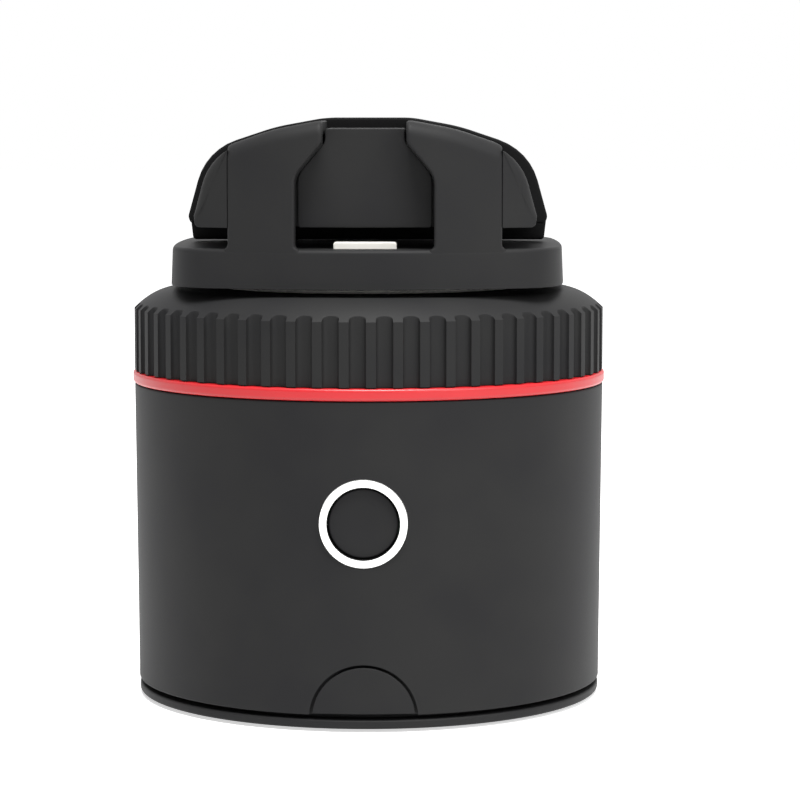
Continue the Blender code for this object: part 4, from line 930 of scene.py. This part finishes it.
def both_sides(half):
    """A symmetric outline from the corners of its right half, from the foot up."""
    return dense(eased(half + [(-x, z, r) for x, z, r in reversed(half)]), OUTLINE_STEP)


def dome(bottom, foot=0.6):
    """The clamp's outline with its lower edge at a height, its lower corners rounded by foot."""
    return both_sides([(DOME_FOOT, bottom, foot), DOME_WIDE, DOME_CORNER, DOME_BROW, DOME_TOP])


outline = dome(plate_bottom - 3)
upper = outline[(outline[:, 1] > UPPER_FROM) & (outline[:, 0] >= 0)]
upper = upper[np.argsort(upper[:, 0])]


def dome_z(x):
    """The height of the clamp's outline above a place x."""
    return np.interp(np.abs(x), upper[:, 0], upper[:, 1])


# %% [markdown]
# At every station along its path a strap's section is a rectangle with rounded corners. One side of
# that rectangle lies on the outer path and the other on the inner path, so a point is found by going
# across the strap's width first and then through its thickness. The inner edge follows the
# bottle-shaped window, and both edges flare a little where they meet the drum. The outer face stands
# a hair outside the top of the drum's wall, so the two flow together without a seam.

# %% Straps
STRAP_OUT = 20.1
WINDOW_HALF = 10.15
NECK_HALF = 6.13
NECK_LOW = 80.6
NECK_HIGH = 85.4
STRAP_THICK = 4.1
ARCH_THICK = 2.2
STRAP_BACK_Y = -7.3
STRAP_PROUD = 0.015
STRAP_R = HEAD_FRONT_R - DRAFT + STRAP_PROUD
STRAP_BROW = 1.037
STRAP_DROP = 0.3
STRAP_ROOT = DRUM_TOP - 1.2
BEND = 2.2
INNER_BEND = 0.5
STRAP_EDGE = 0.45
FLARE = 0.7
NECK_EASES = (3.5, 1.2)
SECTION_STEP = 0.7
SETTLING = 8

window = eased([(WINDOW_HALF, STRAP_ROOT - 1, 0), (WINDOW_HALF, NECK_LOW, NECK_EASES[0]),
                (NECK_HALF, NECK_HIGH, NECK_EASES[1]), (NECK_HALF, head_high[2] + 2, 0)], closed=False)


def flared(z):
    """How far an edge swings out at its foot: a quarter circle against the drum's top."""
    up = np.clip(z - DRUM_TOP, 0, FLARE)
    return FLARE - np.sqrt(FLARE ** 2 - (FLARE - up) ** 2)


def strap_path(x, station, radius, drop, bend):
    """y and z along a strap at a place x. Stations run 0 to 1 up, 1 to 2 round and 2 to 3 back."""
    front = HEAD_ARC_Y - np.sqrt(radius ** 2 - x ** 2)
    top = dome_z(x * STRAP_BROW) - STRAP_DROP - drop
    up = np.clip(station, 0, 1)
    turn = np.clip(station - 1, 0, 1) * math.pi / 2
    back = np.clip(station - 2, 0, 1)
    y = front + bend * (1 - np.cos(turn)) + (STRAP_BACK_Y - front - bend) * back
    z = STRAP_ROOT + (top - bend - STRAP_ROOT) * up + bend * np.sin(turn)
    return y, z


def strap(side):
    """One strap as a grid: stations along its path by places round its section.

    A place is two shares: across, from the window's edge to the outer edge, and through, from the
    outer face to the inner one. The window's edge depends on the height, so x is found in a few turns.
    """
    station = np.concatenate([np.linspace(0, 0.12, 10), np.linspace(0.12, 1, 44)[1:],
                              np.linspace(1, 2, 12)[1:], np.linspace(2, 3, 10)[1:]])[:, None]
    wide = STRAP_OUT - WINDOW_HALF
    section = dense(eased([(0, 0, STRAP_EDGE), (wide, 0, STRAP_EDGE), (wide, STRAP_THICK, STRAP_EDGE),
                           (0, STRAP_THICK, STRAP_EDGE)]), SECTION_STEP)
    across, through = section[:, 0] / wide, section[:, 1] / STRAP_THICK
    x = np.full((len(station), len(section)), WINDOW_HALF)
    for _ in range(SETTLING):
        _, z = strap_path(x, station, STRAP_R, 0.0, BEND)
        inner_x = np.interp(z, window[:, 1], window[:, 0]) - flared(z)
        x = inner_x + (STRAP_OUT + flared(z) - inner_x) * across
    outer_y, outer_z = strap_path(x, station, STRAP_R, 0.0, BEND)
    in_y, in_z = strap_path(x, station, STRAP_R - STRAP_THICK, ARCH_THICK, INNER_BEND)
    y = outer_y + (in_y - outer_y) * through
    z = outer_z + (in_z - outer_z) * through
    return skin(np.stack([side * x, y, z], axis=-1))


straps = solid("straps", strap(-1), strap(1))
drum.data.materials.clear()
with bpy.context.temp_override(active_object=drum, selected_editable_objects=[drum, straps]):
    bpy.ops.object.join()
finish_piece(drum, "head", "soft_touch_plastic", soft_touch, "head_shell")

# %% [markdown]
# Behind the straps stands the front jaw plate. Two wings show at the sides, 0.25 mm behind the straps'
# faces and with a softly rounded outer edge, and a flat panel closes the window.

# %% Front jaw plate
WING_BEHIND = 0.25
WING_R = STRAP_R - WING_BEHIND
WING_IN = STRAP_OUT + 0.05
WING_INSET_TOP = 0.75
WING_INSET_SIDE = 1.9
WING_CORNER = 0.8
WING_SOFT = 1.2
WING_CRISP = 0.1
WING_FOOT_IN = 0.2
WING_STEP = 0.6
SOFTENS_OVER = 2.0
SIDE_FROM = plate_bottom + 1.6
PANEL_Y = -24.5
PANEL_IN = 0.3
PANEL_DOWN = 1.5
PANEL_FOOT_EASE = 0.5
PANEL_NECK_EASES = (3.2, 1.5, 0.3)
PANEL_EDGE = 0.15
BACKING_BEHIND = 0.4
BACKING_SIDE = (83.0, 1.0)
BACKING_TOP = (12.0, 85.0, 4.0)
BACKING_EASES = (0.3, 0.2)


def on_arc(radius, nearest=-100.0):
    """A front face on an upright cylinder about the front arc's centre, cut flat at nearest."""
    return lambda x, z: np.maximum(HEAD_ARC_Y - np.sqrt(radius ** 2 - x ** 2), nearest)


rim_line = dome(plate_bottom, 0.3)
facing = outward(rim_line)
inset = WING_INSET_TOP + (WING_INSET_SIDE - WING_INSET_TOP) * np.abs(facing[:, 0])
rim_line = rim_line - facing * inset[:, None]
side_line = rim_line[(rim_line[:, 0] > WING_IN) & (rim_line[:, 1] > SIDE_FROM)]
wing_low = (side_line[0, 0] - WING_FOOT_IN, plate_bottom)
wing_right = dense(eased([(WING_IN, plate_bottom, 0), (*wing_low, WING_CORNER)]
                         + [(*point, 0) for point in side_line]
                         + [(WING_IN, side_line[-1, 1] + 0.1, 0)]), WING_STEP)
near_side = np.clip((wing_right[:, 0] - WING_IN) / SOFTENS_OVER, 0, 1)
above_foot = np.clip((wing_right[:, 1] - plate_bottom - WING_CORNER) / SOFTENS_OVER, 0, 1)
wing_soft = WING_CRISP + (WING_SOFT - WING_CRISP) * near_side * above_foot
wings = [slab(line, on_arc(WING_R), level(STRAP_BACK_Y), soft, WING_CRISP, rings=14)
         for line, soft in ((wing_right, wing_soft), (wing_right[::-1] * (-1, 1), wing_soft[::-1]))]

panel_half, panel_neck = WINDOW_HALF - PANEL_IN, NECK_HALF - PANEL_IN
low_ease, high_ease, top_ease = PANEL_NECK_EASES
panel_line = both_sides([
    (panel_half, plate_bottom, PANEL_FOOT_EASE), (panel_half, NECK_LOW, low_ease),
    (panel_neck, NECK_HIGH, high_ease), (panel_neck, head_high[2] - PANEL_DOWN, top_ease)])
panel = slab(panel_line, level(PANEL_Y), level(STRAP_BACK_Y), PANEL_EDGE, PANEL_EDGE)
behind_r = STRAP_R - STRAP_THICK - BACKING_BEHIND
backing_line = both_sides([(WING_IN, plate_bottom + 0.1, PANEL_FOOT_EASE),
                           (WING_IN, *BACKING_SIDE), BACKING_TOP])
backing = slab(backing_line, on_arc(behind_r, PANEL_Y + 0.2), level(STRAP_BACK_Y - 0.1),
               *BACKING_EASES)
plate = solid("front_plate", *wings, panel, backing)
finish_piece(plate, "head", "soft_touch_plastic", soft_touch, "front_jaw_plate")

# %% [markdown]
# Two rubber pads face each other behind the plate. The front one is fixed and shows as a black edge
# all round the plate. The rear one rides on the sliding jaw and reaches lower, almost to the drum.

# %% Pads
PAD_EASE = 0.35
for name, node, body in (("phone_pad_front", "front_pad", "head"),
                         ("phone_pad_rear", "rear_pad", "jaw")):
    low, high = box_mm(node)
    pad = solid(name, slab(dome(low[2]), level(low[1]), level(high[1]), PAD_EASE, PAD_EASE))
    finish_piece(pad, body, "rubber", rubber, node)

# %% [markdown]
# The rear jaw is the finger grip that is pulled back to open the clamp. Its back is gently curved
# from side to side with a full round all along its edge, and its two feet go down through the
# drum's slots to the guide rods.

# %% Rear jaw
JAW_BACK_R = 42.5
JAW_EASES = (0.3, 1.3)
FOOT_Y = (2.0, 6.0)
FOOT_CORNER = 0.4
jaw_bottom = box_mm("rear_pad")[0][2]
rear_low, rear_high = box_mm("rear_jaw")


def jaw_back(x, z):
    """The jaw's back face, on an upright cylinder of its own."""
    return rear_high[1] - JAW_BACK_R + np.sqrt(JAW_BACK_R ** 2 - x ** 2)


feet = [block((x - FOOT_HALF, FOOT_Y[0], rear_low[2]),
              (x + FOOT_HALF, FOOT_Y[1], jaw_bottom + 1), FOOT_CORNER) for x in (-FOOT_X, FOOT_X)]
jaw = solid("rear_grip", slab(dome(jaw_bottom), level(rear_low[1]), jaw_back, *JAW_EASES,
                              rings=16, quarter=8), *feet)
finish_piece(jaw, "jaw", "soft_touch_plastic", soft_touch, "rear_jaw")

# %% [markdown]
# Through the slots the guide rods and their springs can be seen. A spring is a round wire carried
# along a helix about the rod: its section is a circle in the plane of the helix's own two normals.

# %% Guide rods and springs
ROD_EASE = 0.15
ROD_MIDDLE = 0.3
WIRE_R = 0.175
COIL_R = 1.0
TURNS = 7
TURN_STEPS = 28
WIRE_STEPS = 12


def coil(x, z, front, back):
    """A helix along y with closed ends, as a tube: stations by places round the wire."""
    t = np.linspace(0, 1, TURNS * TURN_STEPS + 1)[:, None]
    a = 2 * math.pi * TURNS * t
    centre = np.concatenate([x + COIL_R * np.cos(a), front + (back - front) * t,
                             z + COIL_R * np.sin(a)], axis=1)
    out = np.concatenate([np.cos(a), np.zeros_like(a), np.sin(a)], axis=1)
    rise = (back - front) / (2 * math.pi * TURNS)
    along = np.concatenate([-COIL_R * np.sin(a), np.full_like(a, rise), COIL_R * np.cos(a)], axis=1)
    along /= np.linalg.norm(along, axis=1, keepdims=True)
    across = np.cross(out, along)
    b = np.linspace(0, 2 * math.pi, WIRE_STEPS, endpoint=False)[None, :, None]
    return skin(centre[:, None] + WIRE_R * (np.cos(b) * out[:, None] + np.sin(b) * across[:, None]))


for word in ("left", "right"):
    rod_low, rod_high = box_mm(f"guide_rod_{word}")
    middle = (rod_low + rod_high) / 2
    radius = (rod_high[0] - rod_low[0]) / 2
    line = eased([(radius - ROD_MIDDLE, rod_low[1], 0), (radius, rod_low[1], ROD_EASE),
                  (radius, rod_high[1], ROD_EASE), (radius - ROD_MIDDLE, rod_high[1], 0)], closed=False)
    rod = solid(f"guide_{word}", skin(facing_front(line, middle[2], 32) + (middle[0], 0, 0)))
    finish_piece(rod, "head", "steel", steel, f"guide_rod_{word}")
    spring_low, spring_high = box_mm(f"jaw_spring_{word}")
    spring = solid(f"spring_{word}", coil(middle[0], middle[2], spring_low[1] + WIRE_R,
                                          spring_high[1] - WIRE_R))
    finish_piece(spring, "head", "steel", steel, f"jaw_spring_{word}")
    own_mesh(spring)

# %% [markdown]
# The index mark is a small pale bar at the foot of the window that shows which way the head faces.

# %% Index mark
MARK_LOW_EASE = 0.1
MARK_TOP_EASE = 0.42
MARK_EDGE = 0.15
MARK_STEP = 0.6
(left, front, low), (right, back, high) = mark_low, mark_high
mark_line = dense(eased([(left, low, MARK_LOW_EASE), (right, low, MARK_LOW_EASE),
                         (right, high, MARK_TOP_EASE), (left, high, MARK_TOP_EASE)]), MARK_STEP)
mark = solid("head_mark", slab(mark_line, level(front), level(back), MARK_EDGE, MARK_EDGE))
finish_piece(mark, "head", "acetal", acetal, "index_mark")

# %% [markdown]
# The studio is plain: one large soft lamp high above the front and a weaker one high on the right,
# over a sky that is white for the camera and for reflections, as the surroundings of a cut-out
# photograph are, and nearly dark for dull surfaces, so that the lamps shape them.

# %% Sky and lamps
SKY = 0.1
BACKDROP = 1.0


def seen_by(tree, *rays):
    """One for these kinds of rays and nought for all others."""
    path = add(tree, "ShaderNodeLightPath").outputs
    seen = path[rays[0]]
    for ray in rays[1:]:
        seen = add(tree, "ShaderNodeMath", {0: seen, 1: path[ray]}, operation="MAXIMUM").outputs[0]
    return seen


world = bpy.data.worlds.new("studio")
bpy.context.scene.world = world
world.use_nodes = True
tree = world.node_tree
tree.nodes.clear()
seen = seen_by(tree, "Is Camera Ray", "Is Glossy Ray", "Is Transmission Ray")
dim = add(tree, "ShaderNodeBackground", {"Color": (1, 1, 1, 1), "Strength": SKY})
white = add(tree, "ShaderNodeBackground", {"Color": (1, 1, 1, 1), "Strength": BACKDROP})
mix = add(tree, "ShaderNodeMixShader", {0: seen, 1: dim.outputs[0], 2: white.outputs[0]})
add(tree, "ShaderNodeOutputWorld", {"Surface": mix.outputs[0]})


def lamp(name, watts, size, at, aim):
    """A square soft lamp at a place, aimed at a point. Places are in metres."""
    data = bpy.data.lights.new(name, "AREA")
    data.energy = watts
    data.size = size
    thing = placed(name, data)
    thing.location = at
    x, y, z = np.array(aim) - np.array(at)
    thing.rotation_euler = (math.atan2(math.hypot(x, y), -z), 0, math.atan2(y, x) - math.pi / 2)


lamp("top", 17.0, 0.5, (0.05, -0.3, 0.95), (0, 0, 0.06))
lamp("side", 6.5, 0.6, (0.8, -0.75, 0.7), (0, 0, 0.045))

# %% [markdown]
# The floor is a wide sheet of white paper. For the camera and in reflections it glows, more so far
# from the object, so that it meets the sky without a line. Near the object it still takes a shadow.

# %% Floor
FLOOR_GLOW = (0.62, 0.93)
GLOW_REACH = (0.08, 0.7)
FIBRE = 3.0
REACH = 4.0

mesh = bpy.data.meshes.new("floor")
mesh.from_pydata([(-REACH, -REACH, 0), (REACH, -REACH, 0), (REACH, REACH, 0), (-REACH, REACH, 0)],
                 [], [(0, 1, 2, 3)])
floor = placed("floor", mesh)
paper, tree, shader, place = new_material("matt_white_paper")
wire(tree, shader, {
    "Base Color": ramp(tree, noise(tree, place, FIBRE, 2.0), "F1F1F1", "F4F4F4"),
    "Roughness": 0.9,
    "Specular IOR Level": 0.0,
})
seen = seen_by(tree, "Is Camera Ray", "Is Glossy Ray")
away = add(tree, "ShaderNodeVectorMath", {0: place}, operation="LENGTH").outputs["Value"]
even = between(tree, away, *FLOOR_GLOW, *GLOW_REACH)
glow = add(tree, "ShaderNodeMath", {0: seen, 1: even}, operation="MULTIPLY")
emit = add(tree, "ShaderNodeEmission", {"Strength": glow.outputs[0]})
both = add(tree, "ShaderNodeAddShader", {0: shader.outputs[0], 1: emit.outputs[0]})
tree.links.new(both.outputs[0], tree.nodes["Material Output"].inputs["Surface"])
mesh.materials.append(paper)

# %% [markdown]
# Last, the colours are shown as they are, without a film curve.

# %% Colour view
bpy.context.scene.view_settings.view_transform = "Standard"
